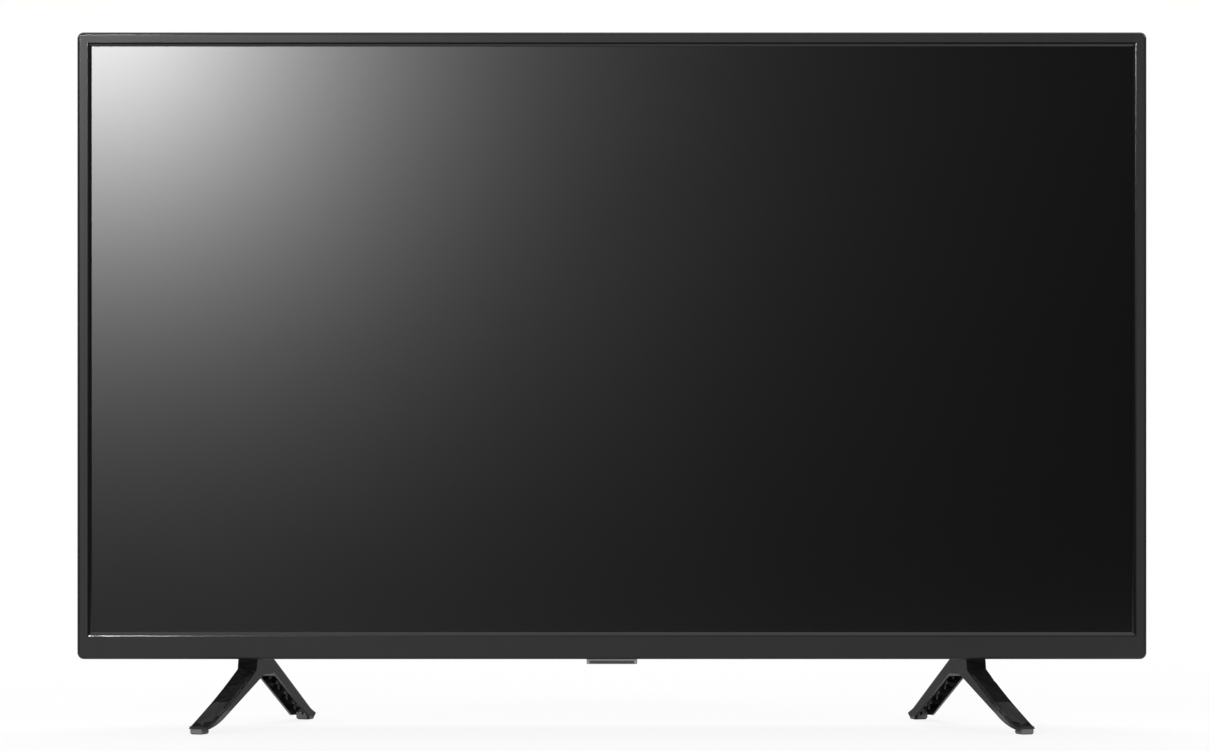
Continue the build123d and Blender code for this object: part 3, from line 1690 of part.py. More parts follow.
named_parts = {
    "front_bezel": make_front_bezel,
    "bezel_gasket": make_bezel_gasket,
    "lcd_cell": lambda: screen_slab(cell_width, cell_height, cell_front, cell_back),
    "mid_frame": make_mid_frame,
    "diffuser_sheet": lambda: screen_slab(sheet_width, sheet_height, shelf_back, diffuser_back),
    "prism_sheet": lambda: screen_slab(sheet_width, sheet_height, diffuser_back, prism_back),
    "diffuser_plate": lambda: screen_slab(sheet_width, sheet_height, prism_back,
                                          diffuser_plate_back),
    "reflector_sheet": make_reflector_sheet,
    "diffuser_posts": lambda: group(make_diffuser_post(x, z) for x, z in diffuser_post_places()),
    "led_chips": make_led_chips,
    "led_lenses": lambda: group(make_led_lens(x, z) for x, z in led_places()),
    "back_chassis": make_back_chassis,
    "wall_mount_nuts": lambda: group(make_wall_mount_nut(x, z) for x, z in wall_mount_places()),
    "rear_cover": make_rear_cover,
    "cover_screws": make_cover_screws,
    "board_screws": lambda: group(make_board_screw(x, z) for x, z in all_board_screws()),
    "main_board": lambda: make_board("main"),
    "main_chips": make_main_chips,
    "main_heatsink": make_main_heatsink,
    "radio_module": make_radio_module,
    "hdmi_sockets": make_hdmi_sockets,
    "usb_sockets": make_usb_sockets,
    "lan_socket": make_lan_socket,
    "optical_socket": make_optical_socket,
    "antenna_socket": make_antenna_socket,
    "power_board": lambda: make_board("power"),
    "mains_inlet": make_mains_inlet,
    "power_transformers": lambda: group(make_transformer(x, z) for x, z in transformer_places()),
    "power_capacitors": make_power_capacitors,
    "power_heatsinks": make_power_heatsinks,
    "control_board": lambda: make_board("control"),
    "control_parts": make_control_parts,
    "source_boards": make_source_boards,
    "panel_films": make_panel_films,
    "panel_ribbons": make_panel_ribbons,
    "signal_ribbon": make_signal_ribbon,
    "speaker_box_left": lambda: make_speaker_box(-1),
    "speaker_box_right": lambda: make_speaker_box(1),
    "speaker_cones": lambda: group([make_speaker_cone(-1), make_speaker_cone(1)]),
    "receiver_housing": make_receiver_housing,
    "receiver_window": make_receiver_window,
    "receiver_board": make_receiver_board,
    "infrared_sensor": make_infrared_sensor,
    "power_switch": make_power_switch,
    "switch_plunger": make_switch_plunger,
    "power_button": make_power_button,
    "stand_left": make_left_stand,
    "stand_right": lambda: mirrored(make_left_stand()),
    "stand_brackets": lambda: group([make_left_bracket(), mirrored(make_left_bracket())]),
    "stand_screws": make_stand_screws,
    "front_pads": make_front_pads,
    "power_lead": make_power_lead,
    "backlight_lead": make_backlight_lead,
    "speaker_leads": make_speaker_leads,
    "receiver_lead": make_receiver_lead,
    "lead_clips": make_clips,
    "rear_pads": make_rear_pads,
}
for row, height in enumerate(bar_heights()):
    named_parts[f"led_bar_{row + 1}"] = lambda z=height: make_led_bar(z)

os.makedirs("parts", exist_ok=True)
for name, make in named_parts.items():
    export_step(make(), f"parts/{name}.step")
    print("made", name)
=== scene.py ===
# %% [markdown]
# # A flat screen television on two inverted-V stands
# The set stands on a table top and is seen almost square from the front. Its solids come from
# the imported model, in metres: X runs to the right along the screen, Y goes back from the screen
# and Z is up. This lesson dresses them: every cell says first what a piece or a finish is on the
# real set, how it could be made in Blender, and why this way was chosen.

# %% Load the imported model
import json
import math
from functools import partial

import bmesh
import bpy
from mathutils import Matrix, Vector


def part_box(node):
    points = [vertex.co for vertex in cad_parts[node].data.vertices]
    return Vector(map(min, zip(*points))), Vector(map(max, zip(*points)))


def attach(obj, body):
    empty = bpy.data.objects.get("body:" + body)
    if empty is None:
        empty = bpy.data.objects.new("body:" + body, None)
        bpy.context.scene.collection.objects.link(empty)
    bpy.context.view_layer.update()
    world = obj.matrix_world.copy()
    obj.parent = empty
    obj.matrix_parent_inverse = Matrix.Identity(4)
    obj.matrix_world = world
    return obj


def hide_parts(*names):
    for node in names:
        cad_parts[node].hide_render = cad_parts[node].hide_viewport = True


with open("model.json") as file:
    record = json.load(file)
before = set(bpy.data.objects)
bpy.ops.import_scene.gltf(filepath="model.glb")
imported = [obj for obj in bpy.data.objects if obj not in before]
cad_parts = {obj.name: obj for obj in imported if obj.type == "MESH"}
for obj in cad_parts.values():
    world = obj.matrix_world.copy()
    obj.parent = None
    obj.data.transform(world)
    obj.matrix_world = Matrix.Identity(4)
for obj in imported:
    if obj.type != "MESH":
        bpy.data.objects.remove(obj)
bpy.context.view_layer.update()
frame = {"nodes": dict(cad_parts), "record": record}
nodes = frame["nodes"]
for plain_material in list(bpy.data.materials):
    bpy.data.materials.remove(plain_material)
MM = 0.001
MICRON = 0.000001

# %% [markdown]
# ## The camera
# The photograph shows the two side rails equally wide and the undersides of neither end, so it
# was taken from far away, level with the lower half of the screen. A camera could be turned until
# the picture looks right, but turning would make the rails lean. This one looks straight along
# the depth axis instead, at the height where the picture's middle row cuts the set, and a small
# sideways shift puts the set a few pixels right of the middle, as it is in the photograph.

# %% Set up the camera
photo_width_px = 1210
set_middle_px = 611.9
face_px_per_metre = 1104.96
camera_distance = 4.5
camera_height = 0.31917
camera_reach = 60.0
sensor_width_mm = 36.0


def linked(name, data):
    """A new object for some data, linked into the scene."""
    made = bpy.data.objects.new(name, data)
    bpy.context.scene.collection.objects.link(made)
    return made


face_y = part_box("front_bezel")[0].y
camera_data = bpy.data.cameras.new("photo_camera")
camera_data.sensor_width = sensor_width_mm
camera_data.lens = sensor_width_mm * face_px_per_metre * camera_distance / photo_width_px
camera_data.shift_x = (photo_width_px / 2 - set_middle_px) / photo_width_px
camera_data.clip_end = camera_reach
camera = linked("photo_camera", camera_data)
camera.location = (0, face_y - camera_distance, camera_height)
camera.rotation_euler = (math.radians(90), 0, 0)
bpy.context.scene.camera = camera
print("lens in mm:", round(camera_data.lens, 2), "shift:", round(camera_data.shift_x, 4))

# %% [markdown]
# ## Node helpers
# Every finish below is a small tree of shader nodes. The same three moves come back each time:
# add a node, set its plain values, and join sockets. These helpers keep the finishes short enough
# to read as recipes.

# %% Node helpers
def join(tree, socket, value):
    """Joins an input to another node's socket, or gives it a plain value."""
    if isinstance(value, bpy.types.NodeSocket):
        tree.links.new(value, socket)
    else:
        socket.default_value = value


def add_node(tree, kind, **values):
    """A new node with its properties set."""
    node = tree.nodes.new(kind)
    for name, value in values.items():
        setattr(node, name, value)
    return node


def feed(tree, target, **links):
    """Sets or joins input sockets, named in lower case with underscores for spaces."""
    sockets = {s.name.lower().replace(" ", "_"): s for s in target.inputs if s.enabled}
    for name, value in links.items():
        join(tree, sockets[name], value)
    return target


print("node helpers ready")

# %% [markdown]
# Colours, sums and masks are worked out by nodes too. Each helper here is one such node, and
# gives out the socket that the next one reads, so that a finish can be written like a formula.

# %% Mixes, sums and masks
def mixed(tree, amount, first, second):
    """A colour that goes from the first to the second with the amount."""
    # The Mix node has inputs for every kind of data, so those for colours go by their number.
    node = add_node(tree, "ShaderNodeMix", data_type="RGBA")
    for index, value in ((0, amount), (6, first), (7, second)):
        join(tree, node.inputs[index], value)
    return node.outputs[2]


def math_node(tree, operation, *values, clamp=False):
    """The result of one sum, with numbers or sockets as its inputs."""
    node = add_node(tree, "ShaderNodeMath", operation=operation, use_clamp=clamp)
    for index, value in enumerate(values):
        join(tree, node.inputs[index], value)
    return node.outputs[0]


def spread_between(tree, value, low, high, start=0.0, end=1.0, kind="LINEAR"):
    """A value that goes from start to end, stretched to run from low to high."""
    node = add_node(tree, "ShaderNodeMapRange", interpolation_type=kind)
    return feed(tree, node, value=value, from_min=start, from_max=end, to_min=low,
                to_max=high).outputs[0]


def rise_between(tree, value, start, end):
    """A mask that goes from 0 to 1 while a value goes from start to end."""
    return spread_between(tree, value, 0.0, 1.0, start, end)


def grey(level):
    return (level, level, level, 1.0)


print("a grey:", grey(0.5))

# %% [markdown]
# A pattern needs to know where on the piece it is. The piece's own place in metres is used, so
# that a pattern keeps its real size on every piece and rides along when the piece moves.

# %% Patterns over a piece
def object_place(tree, stretch=(1, 1, 1)):
    """The place on the piece in metres, stretched where a pattern runs longer one way."""
    place = add_node(tree, "ShaderNodeTexCoord").outputs["Object"]
    return feed(tree, add_node(tree, "ShaderNodeMapping"), vector=place, scale=stretch).outputs[0]


def parts_of(tree, vector):
    """The three numbers of a vector."""
    return feed(tree, add_node(tree, "ShaderNodeSeparateXYZ"), vector=vector).outputs


def noise_over(tree, place, scale, **more):
    """Soft random patches, so many to the metre."""
    node = add_node(tree, "ShaderNodeTexNoise")
    return feed(tree, node, vector=place, scale=scale, **more).outputs[0]


def cells_over(tree, place, scale, feature="F1", distance="EUCLIDEAN", **more):
    """Random cells, so many to the metre."""
    node = add_node(tree, "ShaderNodeTexVoronoi", feature=feature, distance=distance)
    return feed(tree, node, vector=place, scale=scale, **more).outputs


print("pattern helpers ready")

# %% [markdown]
# ## Effects that several finishes share
# Moulded plastic carries the fine spark-eroded grain of its mould, every touched surface shines
# unevenly, burnished edges get a painted highlight, and rolled metal shows lines along its length.
# Each of these could be painted into an image, or written again in every material. A node group
# is built once instead, with inputs for its scale and strength, and gives out only masks and
# heights that change over the surface. The shader that reads them stays in the material.

# %% Make a node group
def make_group(name, inputs, outputs):
    """An empty group with named number inputs and outputs: its tree, what it is given, its end."""
    tree = bpy.data.node_groups.new(name, "ShaderNodeTree")
    for label, value in inputs.items():
        socket = tree.interface.new_socket(label, in_out="INPUT", socket_type="NodeSocketFloat")
        socket.default_value = value
    for label in outputs:
        tree.interface.new_socket(label, in_out="OUTPUT", socket_type="NodeSocketFloat")
    return tree, tree.nodes.new("NodeGroupInput").outputs, tree.nodes.new("NodeGroupOutput")


def use_group(tree, group, **values):
    """The outputs of a group placed in a material with its own values."""
    node = add_node(tree, "ShaderNodeGroup", node_tree=group)
    return feed(tree, node, **values).outputs


print("group helpers ready")

# %% [markdown]
# The grain of a mould is a dense field of tiny rounded pits. Noise alone looks like orange peel,
# and cells alone look like scales, so the group takes mostly noise and lets the cells cut it.

# %% Grain of a mould
pit_share = 0.35
speckle_low, speckle_high = -0.6, 1.6


def make_mould_grain():
    tree, given, result = make_group("mould_grain", {"Per Metre": 3000.0}, ("Height", "Speckle"))
    place = object_place(tree)
    noise = noise_over(tree, place, given[0], detail=3.0, roughness=0.6)
    pits = cells_over(tree, place, given[0])["Distance"]
    feed(tree, result, height=math_node(tree, "MULTIPLY_ADD", pits, pit_share, noise),
         speckle=spread_between(tree, noise, speckle_low, speckle_high))
    return tree


mould_grain = make_mould_grain()
print("group:", mould_grain.name)

# %% [markdown]
# A hand, a cloth and the air leave wide soft patches of more and less shine, and a little dust
# that settles only where a surface looks up. The patches are slow noise. The dust multiplies a
# finer noise by how far the surface's normal points up, so walls and undersides stay clean.

# %% Patches of shine, and settled dust
dust_per_metre = 420.0
dust_thin, dust_thick = 0.5, 0.75
slope_clean, slope_dusty = 0.5, 1.0


def make_handling():
    tree, given, result = make_group("handling", {"Patches Per Metre": 9.0, "Dust": 0.3},
                                     ("Shine", "Settled"))
    place = object_place(tree)
    specks = rise_between(tree, noise_over(tree, place, dust_per_metre, detail=2.0),
                          dust_thin, dust_thick)
    normal = add_node(tree, "ShaderNodeNewGeometry").outputs["Normal"]
    up = rise_between(tree, parts_of(tree, normal)["Z"], slope_clean, slope_dusty)
    dusty = math_node(tree, "MULTIPLY", specks, up)
    feed(tree, result, shine=noise_over(tree, place, given[0], detail=4.0, distortion=0.8),
         settled=math_node(tree, "MULTIPLY", dusty, given[1]))
    return tree


handling = make_handling()
print("group:", handling.name)

# %% [markdown]
# Edges of a moulding are polished by packing and wiping, which makes them smoother; the lighter
# colour that they are given as well is a painted highlight. The Bevel node gives the normal that a
# rounded edge would have, and where it differs from the real normal there is an edge nearby. That
# works on any mesh, where pointiness would need many small faces.

# %% Edges: burnished, and a painted highlight
flat_likeness, edge_likeness = 0.985, 0.8


def make_edge_catch():
    tree, given, result = make_group("edge_catch", {"Reach": 0.6 * MM}, ("Edge",))
    rounded = feed(tree, add_node(tree, "ShaderNodeBevel", samples=4), radius=given[0])
    likeness = add_node(tree, "ShaderNodeVectorMath", operation="DOT_PRODUCT")
    join(tree, likeness.inputs[0], rounded.outputs[0])
    join(tree, likeness.inputs[1], add_node(tree, "ShaderNodeNewGeometry").outputs["Normal"])
    feed(tree, result, edge=rise_between(tree, likeness.outputs["Value"], flat_likeness,
                                         edge_likeness))
    return tree


edge_catch = make_edge_catch()
print("group:", edge_catch.name)

# %% [markdown]
# Sheet and extruded metal keep long fine lines from the rolls or the die. Noise squeezed across
# the lines and drawn out along them gives lines that start and stop, as real ones do.

# %% Lines along rolled metal
line_squeeze = (0.02, 1.0, 1.0)


def make_rolled_lines():
    tree, given, result = make_group("rolled_lines", {"Lines Per Metre": 2500.0}, ("Lines",))
    place = object_place(tree, line_squeeze)
    feed(tree, result, lines=noise_over(tree, place, given[0], detail=2.0, roughness=0.7))
    return tree


rolled_lines = make_rolled_lines()
print("group:", rolled_lines.name)

# %% [markdown]
# ## The finishes
# Each recipe below makes one kind of material, and a start function gives it its tree and its
# shader and keeps it under its name. A bump function turns a height into a normal. What is the
# same all over, such as metal or glass, is set on the shader's own sockets.

# %% Start a finish
finishes = {}


def start_finish(name, **constants):
    """The tree and shader of a new material, with the constants set on the shader."""
    finishes[name] = bpy.data.materials.new(name)
    finishes[name].use_nodes = True
    tree = finishes[name].node_tree
    return tree, feed(tree, tree.nodes["Principled BSDF"], **constants)


def add_bump(tree, shader, height, metres):
    """Lets a height from 0 to 1 push the surface out by that many metres."""
    bump = feed(tree, add_node(tree, "ShaderNodeBump"), height=height, distance=metres,
                strength=1.0)
    join(tree, shader.inputs["Normal"], bump.outputs[0])


print("finish helpers ready")

# %% [markdown]
# ### Moulded plastics
# The frame, the rear cover, the stands and the small bar below the rail are injection moulded,
# and so are the chips' cases and the capacitors' sleeves on the boards. They differ in colour, in
# how coarse the mould's grain is and in how much they shine, so one recipe with those values
# serves them all. The colour shifts a little with the speckle, edges are a touch smoother and
# carry a painted highlight in a lighter colour, and dust lies only on top. The frame's rounded
# edge and its bevel are polished in the mould while its flats are fine matt, so there a mark
# stored on the faces turns the base darker and lays a clear coat over it.

# %% Moulded plastic
dust_colour = (0.32, 0.30, 0.28, 1.0)
# Painted highlight on edges: how much lighter the edge colour is made than the body.
painted_highlight_gain, painted_highlight_lift = 1.7, 0.004
speckle_share, speckle_tone = 0.3, 0.7
shine_swing, rim_gloss = 0.12, 0.2
polish_tone, coat_roughness, etched_roughness = 0.12, 0.12, 0.4


def face_mark(tree, name):
    """The value that a piece's faces store under a name."""
    return add_node(tree, "ShaderNodeAttribute", attribute_name=name).outputs["Fac"]


def moulded(name, colour, roughness, per_metre, depth, edge=0.25, dust=0.15, specular=0.5,
            polish=0.0, etched=0.0):
    tree, shader = start_finish(name, specular_ior_level=specular)
    grain = use_group(tree, mould_grain, per_metre=per_metre)
    touch = use_group(tree, handling, dust=dust)
    rim = use_group(tree, edge_catch)[0]
    # Painted highlight: near edges the colour is made lighter, standing in for the light that the
    # edges catch.
    body = mixed(tree, math_node(tree, "MULTIPLY", rim, edge), grey(colour),
                 grey(colour * painted_highlight_gain + painted_highlight_lift))
    body = mixed(tree, math_node(tree, "MULTIPLY", grain["Speckle"], speckle_share), body,
                 grey(colour * speckle_tone))
    body = mixed(tree, touch["Settled"], body, dust_colour)
    rough = spread_between(tree, touch["Shine"], roughness * (1 - shine_swing),
                           roughness * (1 + shine_swing))
    rough = math_node(tree, "MULTIPLY_ADD", rim, -rim_gloss * roughness, rough, clamp=True)
    if polish:
        mark = face_mark(tree, "polish")
        body = mixed(tree, mark, body, grey(colour * polish_tone))
        feed(tree, shader, coat_weight=math_node(tree, "MULTIPLY", mark, polish),
             coat_roughness=coat_roughness)
    if etched:
        mark = face_mark(tree, "etched")
        body = mixed(tree, mark, body, grey(etched))
        rough = math_node(tree, "MULTIPLY_ADD", mark, etched_roughness - roughness, rough,
                          clamp=True)
    feed(tree, shader, base_color=body, roughness=rough)
    add_bump(tree, shader, grain["Height"], depth)


print("share of the base colour that polish leaves:", polish_tone)

# %% [markdown]
# With the recipe in place each moulded finish is one row. The cover is the coarsest and the
# dustiest, the frame and the bar below it are finer, and the sleeves of capacitors are shiny.

# %% Moulded finishes
# In each row: name, grey, roughness, grains to the metre, depth of the grain.
moulded("frame_black", 0.027, 0.31, 3600.0, 5 * MICRON, specular=0.1, polish=1.0)
moulded("cover_black", 0.022, 0.55, 1500.0, 60 * MICRON, dust=0.25)
moulded("frame_grey", 0.09, 0.5, 2200.0, 20 * MICRON)
moulded("pod_grey", 0.21, 0.34, 3600.0, 10 * MICRON)
moulded("socket_black", 0.03, 0.45, 3000.0, 10 * MICRON)
moulded("chip_black", 0.026, 0.6, 4200.0, 30 * MICRON, edge=0.4)
moulded("can_sleeve", 0.03, 0.22, 2500.0, 4 * MICRON, edge=0.8)
print("moulded finishes:", *finishes)

# %% [markdown]
# ### The glossy leg and the smoked window
# The stands come out of a polished mould, so they mirror the room with hardly any grain, and only
# wide patches of handling break the shine. The hollow on each toe is etched a little paler and
# less shiny, where a mark on its faces says so. The infrared window is the same sort of surface
# on a dark, slightly see-through plastic, and looks solid from outside. Both are the moulded
# recipe with a very fine grain, a low roughness and a depth that is nearly nothing.

# %% Glossy plastics
moulded("leg_gloss", 0.006, 0.1, 5200.0, 1.5 * MICRON, edge=0.6, dust=0.06, etched=0.018)
moulded("smoked_window", 0.06, 0.16, 5200.0, 1 * MICRON, edge=0.4, dust=0.03)
print("finishes so far:", len(finishes))

# %% [markdown]
# ### The screen
# The panel that shows when the set is off is a dark film with an anti-glare skin: a mirror whose
# sharpness is scattered into a wide soft glow. A painted gradient would look right from one side
# only, so the glow is left to a lamp, and the skin is given the roughness that spreads its image
# as far as it spreads in the photograph. The skin itself is a very fine random relief.

# %% Screen
screen_roughness, roughness_swing = 0.255, 0.01
film_dark, film_light = grey(0.0012), grey(0.002)
skin_per_metre = 9000.0
skin_depth = 0.4 * MICRON


def make_screen_glass():
    tree, shader = start_finish("screen_glass", ior=1.5)
    skin = use_group(tree, mould_grain, per_metre=skin_per_metre)
    touch = use_group(tree, handling, patches_per_metre=3.0, dust=0.02)
    film = mixed(tree, skin["Speckle"], film_dark, film_light)
    feed(tree, shader, base_color=mixed(tree, touch["Settled"], film, dust_colour),
         roughness=spread_between(tree, touch["Shine"], screen_roughness - roughness_swing,
                                  screen_roughness + roughness_swing))
    add_bump(tree, shader, skin["Height"], skin_depth)


make_screen_glass()
print("screen roughness:", screen_roughness)

# %% [markdown]
# ### Metals
# Screws, shields, the heat sink and the nuts are bare or plated metal. Each has its own colour and
# its own run of lines, and each dulls in patches where it was handled. A metal's colour is all in
# its mirror, so the metallic value is a constant of the shader, and the lines move the roughness
# and the height together.

# %% Metal
dull_tone, line_share, line_swing = 0.72, 0.3, 0.2


def toned(colour, tone=1.0):
    """A colour with four parts, made darker by a tone below 1."""
    return tuple(part * tone for part in colour) + (1.0,)


def metal(name, colour, roughness, per_metre, depth, tarnish=0.25):
    tree, shader = start_finish(name, metallic=1.0)
    lines = use_group(tree, rolled_lines, lines_per_metre=per_metre)[0]
    touch = use_group(tree, handling, patches_per_metre=35.0, dust=0.0)
    dull = toned(colour, dull_tone)
    body = mixed(tree, math_node(tree, "MULTIPLY", touch["Shine"], tarnish), toned(colour), dull)
    body = mixed(tree, math_node(tree, "MULTIPLY", lines, line_share), body, dull)
    feed(tree, shader, base_color=body,
         roughness=spread_between(tree, lines, roughness * (1 - line_swing),
                                  roughness * (1 + line_swing)))
    add_bump(tree, shader, lines, depth)


# In each row: name, colour, roughness, lines to the metre, depth of the lines.
metal("black_screw", (0.07, 0.07, 0.075), 0.38, 5000.0, 4 * MICRON)
metal("plain_screw", (0.62, 0.62, 0.6), 0.3, 5000.0, 3 * MICRON)
metal("nut_brass", (0.74, 0.55, 0.27), 0.28, 6000.0, 3 * MICRON, tarnish=0.6)
metal("socket_metal", (0.72, 0.72, 0.71), 0.24, 4000.0, 2 * MICRON)
metal("sink_aluminium", (0.74, 0.75, 0.76), 0.36, 3000.0, 8 * MICRON)
print("finishes so far:", len(finishes))

# %% [markdown]
# The chassis is zinc-coated sheet. Zinc freezes into flat crystals, each with its own tilt, which
# the eye reads as a patchwork of greys. Cells with a random value each give that patchwork.

# %% Zinc-coated sheet
crystals_per_metre = 160.0
crystal_dark, crystal_light = grey(0.5), grey(0.66)
crystal_smooth, crystal_rough = 0.3, 0.48
sheet_lines_per_metre = 1500.0
sheet_line_depth = 6 * MICRON


def make_zinc_steel():
    tree, shader = start_finish("zinc_steel", metallic=1.0)
    tone = feed(tree, add_node(tree, "ShaderNodeSeparateColor"),
                color=cells_over(tree, object_place(tree), crystals_per_metre)["Color"]).outputs
    feed(tree, shader, base_color=mixed(tree, tone[0], crystal_dark, crystal_light),
         roughness=spread_between(tree, tone[1], crystal_smooth, crystal_rough))
    add_bump(tree, shader, use_group(tree, rolled_lines, lines_per_metre=sheet_lines_per_metre)[0],
             sheet_line_depth)


make_zinc_steel()
print("finishes so far:", len(finishes))

# %% [markdown]
# ### Soft and porous stuff
# Rubber pads, the foam strip, the speaker cones, the white sheets behind the panel and the
# ferrite cores all have a matt, open surface. Pores are the dark hollows of a cell pattern, with
# noise between them, and both roughness and colour follow the hollows.

# %% Porous stuff
coarser = 0.45
hollow_low, hollow_high = 0.1, 2.4
matt_swing = 0.08


def porous(name, colour, per_metre, depth, roughness=0.85, contrast=0.35, sheen=0.0):
    tree, shader = start_finish(name, sheen_weight=sheen)
    place = object_place(tree)
    pores = cells_over(tree, place, per_metre, "SMOOTH_F1")["Distance"]
    noise = noise_over(tree, place, per_metre * coarser, detail=4.0)
    hollow = math_node(tree, "MULTIPLY", pores, noise)
    touch = use_group(tree, handling, patches_per_metre=22.0, dust=0.2)
    body = mixed(tree, spread_between(tree, hollow, hollow_low, hollow_high),
                 toned(colour, 1 - contrast), toned(colour))
    feed(tree, shader, base_color=mixed(tree, touch["Settled"], body, dust_colour),
         roughness=spread_between(tree, touch["Shine"], roughness - matt_swing,
                                  roughness + matt_swing))
    add_bump(tree, shader, hollow, depth)


# In each row: name, colour, pores to the metre, depth of the pores.
porous("pad_rubber", (0.17, 0.17, 0.174), 2600.0, 80 * MICRON, roughness=0.7)
porous("foam_black", (0.028, 0.028, 0.03), 1800.0, 200 * MICRON, sheen=0.2)
porous("cone_paper", (0.05, 0.048, 0.045), 900.0, 100 * MICRON, contrast=0.5, sheen=0.1)
porous("white_sheet", (0.84, 0.84, 0.85), 5000.0, 10 * MICRON, contrast=0.06)
porous("ferrite", (0.11, 0.11, 0.115), 2400.0, 40 * MICRON, roughness=0.6)
porous("lead_black", (0.03, 0.03, 0.032), 3200.0, 10 * MICRON, roughness=0.45)
print("finishes so far:", len(finishes))

# %% [markdown]
# ### Ribbons and films
# Flat ribbons and driver films are rows of narrow conductors laminated between two skins. The
# rows run along the piece, so one colour alternates with another across it at the pitch of the
# conductors, and a slight ridge stands over each of them.

# %% Striped laminates
stripe_edge, stripe_top = 0.18, 0.3
wiped_smoother, dusty_rougher = 0.05, 0.1
ridge_height = 40 * MICRON


def laminated(name, skin, conductor, pitch, roughness):
    tree, shader = start_finish(name)
    place = add_node(tree, "ShaderNodeTexCoord").outputs["Object"]
    across = math_node(tree, "DIVIDE", parts_of(tree, place)["X"], pitch)
    line = rise_between(tree, math_node(tree, "PINGPONG", across, 0.5), stripe_edge, stripe_top)
    touch = use_group(tree, handling, patches_per_metre=60.0, dust=0.1)
    body = mixed(tree, line, toned(skin), toned(conductor))
    feed(tree, shader, base_color=mixed(tree, touch["Settled"], body, dust_colour),
         roughness=spread_between(tree, touch["Shine"], roughness - wiped_smoother,
                                  roughness + dusty_rougher))
    add_bump(tree, shader, line, ridge_height)


# In each row: name, colour of the skin and of the conductors, pitch, roughness.
laminated("ribbon_white", (0.78, 0.78, 0.76), (0.5, 0.5, 0.52), 1.0 * MM, 0.4)
laminated("film_amber", (0.42, 0.2, 0.04), (0.62, 0.38, 0.16), 0.6 * MM, 0.25)
print("finishes so far:", len(finishes))

# %% [markdown]
# ### Circuit boards
# A board is glass fibre under green resist. Copper lies below the resist as straight tracks with
# square corners and as poured areas, a shade lighter than the rest, and drilled pads shine
# through as small dots. A brick pattern gives the tracks, square cells give the poured areas, and
# round cells give the dots, so that nobody's circuit is copied.

# %% Circuit board
tracks_per_metre, pours_per_metre, pads_per_metre = 90.0, 70.0, 330.0
resist_bare, resist_on_copper = (0.012, 0.085, 0.035, 1), (0.03, 0.19, 0.075, 1)
tin_colour, tin_share = (0.6, 0.62, 0.6, 1), 0.8
pour_edge, pour_inside = 0.34, 0.32
pad_edge, pad_inside = 0.2, 0.16
copper_height = 30 * MICRON


def make_board_green():
    tree, shader = start_finish("board_green")
    place = add_node(tree, "ShaderNodeTexCoord").outputs["Object"]
    flat = feed(tree, add_node(tree, "ShaderNodeMapping"), vector=place,
                rotation=(math.radians(90), 0, 0)).outputs[0]
    tracks = add_node(tree, "ShaderNodeTexBrick", offset=0.37, squash=0.6, squash_frequency=3)
    feed(tree, tracks, vector=flat, color1=grey(0), color2=grey(0.25), mortar=grey(1),
         scale=tracks_per_metre, mortar_size=0.035, mortar_smooth=0.1)
    pours = cells_over(tree, flat, pours_per_metre, distance="CHEBYCHEV")["Distance"]
    pads = cells_over(tree, flat, pads_per_metre, randomness=0.35)["Distance"]
    poured = rise_between(tree, pours, pour_edge, pour_inside)
    copper = math_node(tree, "MAXIMUM", tracks.outputs["Color"], poured, clamp=True)
    resist = mixed(tree, copper, resist_bare, resist_on_copper)
    tinned = math_node(tree, "MULTIPLY", rise_between(tree, pads, pad_edge, pad_inside),
                       tin_share)
    feed(tree, shader, base_color=mixed(tree, tinned, resist, tin_colour),
         roughness=spread_between(tree, copper, low=0.42, high=0.3))
    add_bump(tree, shader, copper, copper_height)


make_board_green()
print("finishes so far:", len(finishes))

# %% [markdown]
# ### The small parts on the boards
# The lights are a yellow phosphor in a white cup, with grains of slightly different yellow. The
# bars that carry them are aluminium under white lacquer. The lenses over the lights are clear
# moulded caps, with a faint flow pattern that moves their gloss.

# %% Small parts
phosphor_deep, phosphor_pale = (0.78, 0.62, 0.12, 1), (0.86, 0.8, 0.42, 1)
lacquer_pale, lacquer_dull = grey(0.86), grey(0.74)
lens_tint = (0.95, 0.97, 0.98, 1.0)


def make_chip_yellow():
    tree, shader = start_finish("chip_yellow")
    grain = use_group(tree, mould_grain, per_metre=6000.0)
    feed(tree, shader, base_color=mixed(tree, grain["Speckle"], phosphor_deep, phosphor_pale),
         roughness=spread_between(tree, grain["Speckle"], low=0.5, high=0.7))
    add_bump(tree, shader, grain["Height"], metres=20 * MICRON)


def make_clear_lens():
    tree, shader = start_finish("clear_lens", transmission_weight=1.0, ior=1.49,
                                base_color=lens_tint)
    touch = use_group(tree, handling, patches_per_metre=120.0, dust=0.0)
    feed(tree, shader, roughness=spread_between(tree, touch["Shine"], low=0.02, high=0.1))


def make_bar_white():
    tree, shader = start_finish("bar_white")
    lines = use_group(tree, rolled_lines, lines_per_metre=1200.0)[0]
    feed(tree, shader, base_color=mixed(tree, lines, lacquer_pale, lacquer_dull),
         roughness=spread_between(tree, lines, low=0.3, high=0.5))
    add_bump(tree, shader, lines, metres=10 * MICRON)


make_chip_yellow()
make_clear_lens()
make_bar_white()
print("all finishes:", sorted(finishes))

# %% [markdown]
# ## Dress the solids
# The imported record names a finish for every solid, so one loop can put all of them on. A table
# typed here would say the same again and could drift from the record. Solids whose shape is right
# keep their own mesh from here on, and the pieces made below replace the others.

# %% Dress every solid
for part in frame["record"]["subparts"]:
    solid = nodes[part["node"]]
    solid.data.materials.clear()
    solid.data.materials.append(finishes[part["material_slot"]])

# %% [markdown]
# ## Pieces of their own
# Some solids are right in size but too plain in form: a mould leaves every edge with a small
# radius, rubber has ribs, a screw has a cross in its head. Those get a piece of their own here.
# Every such piece is made at its real place, so its object stays at the origin, and it says which
# body it rides on, which finish it takes and which solids it stands for.

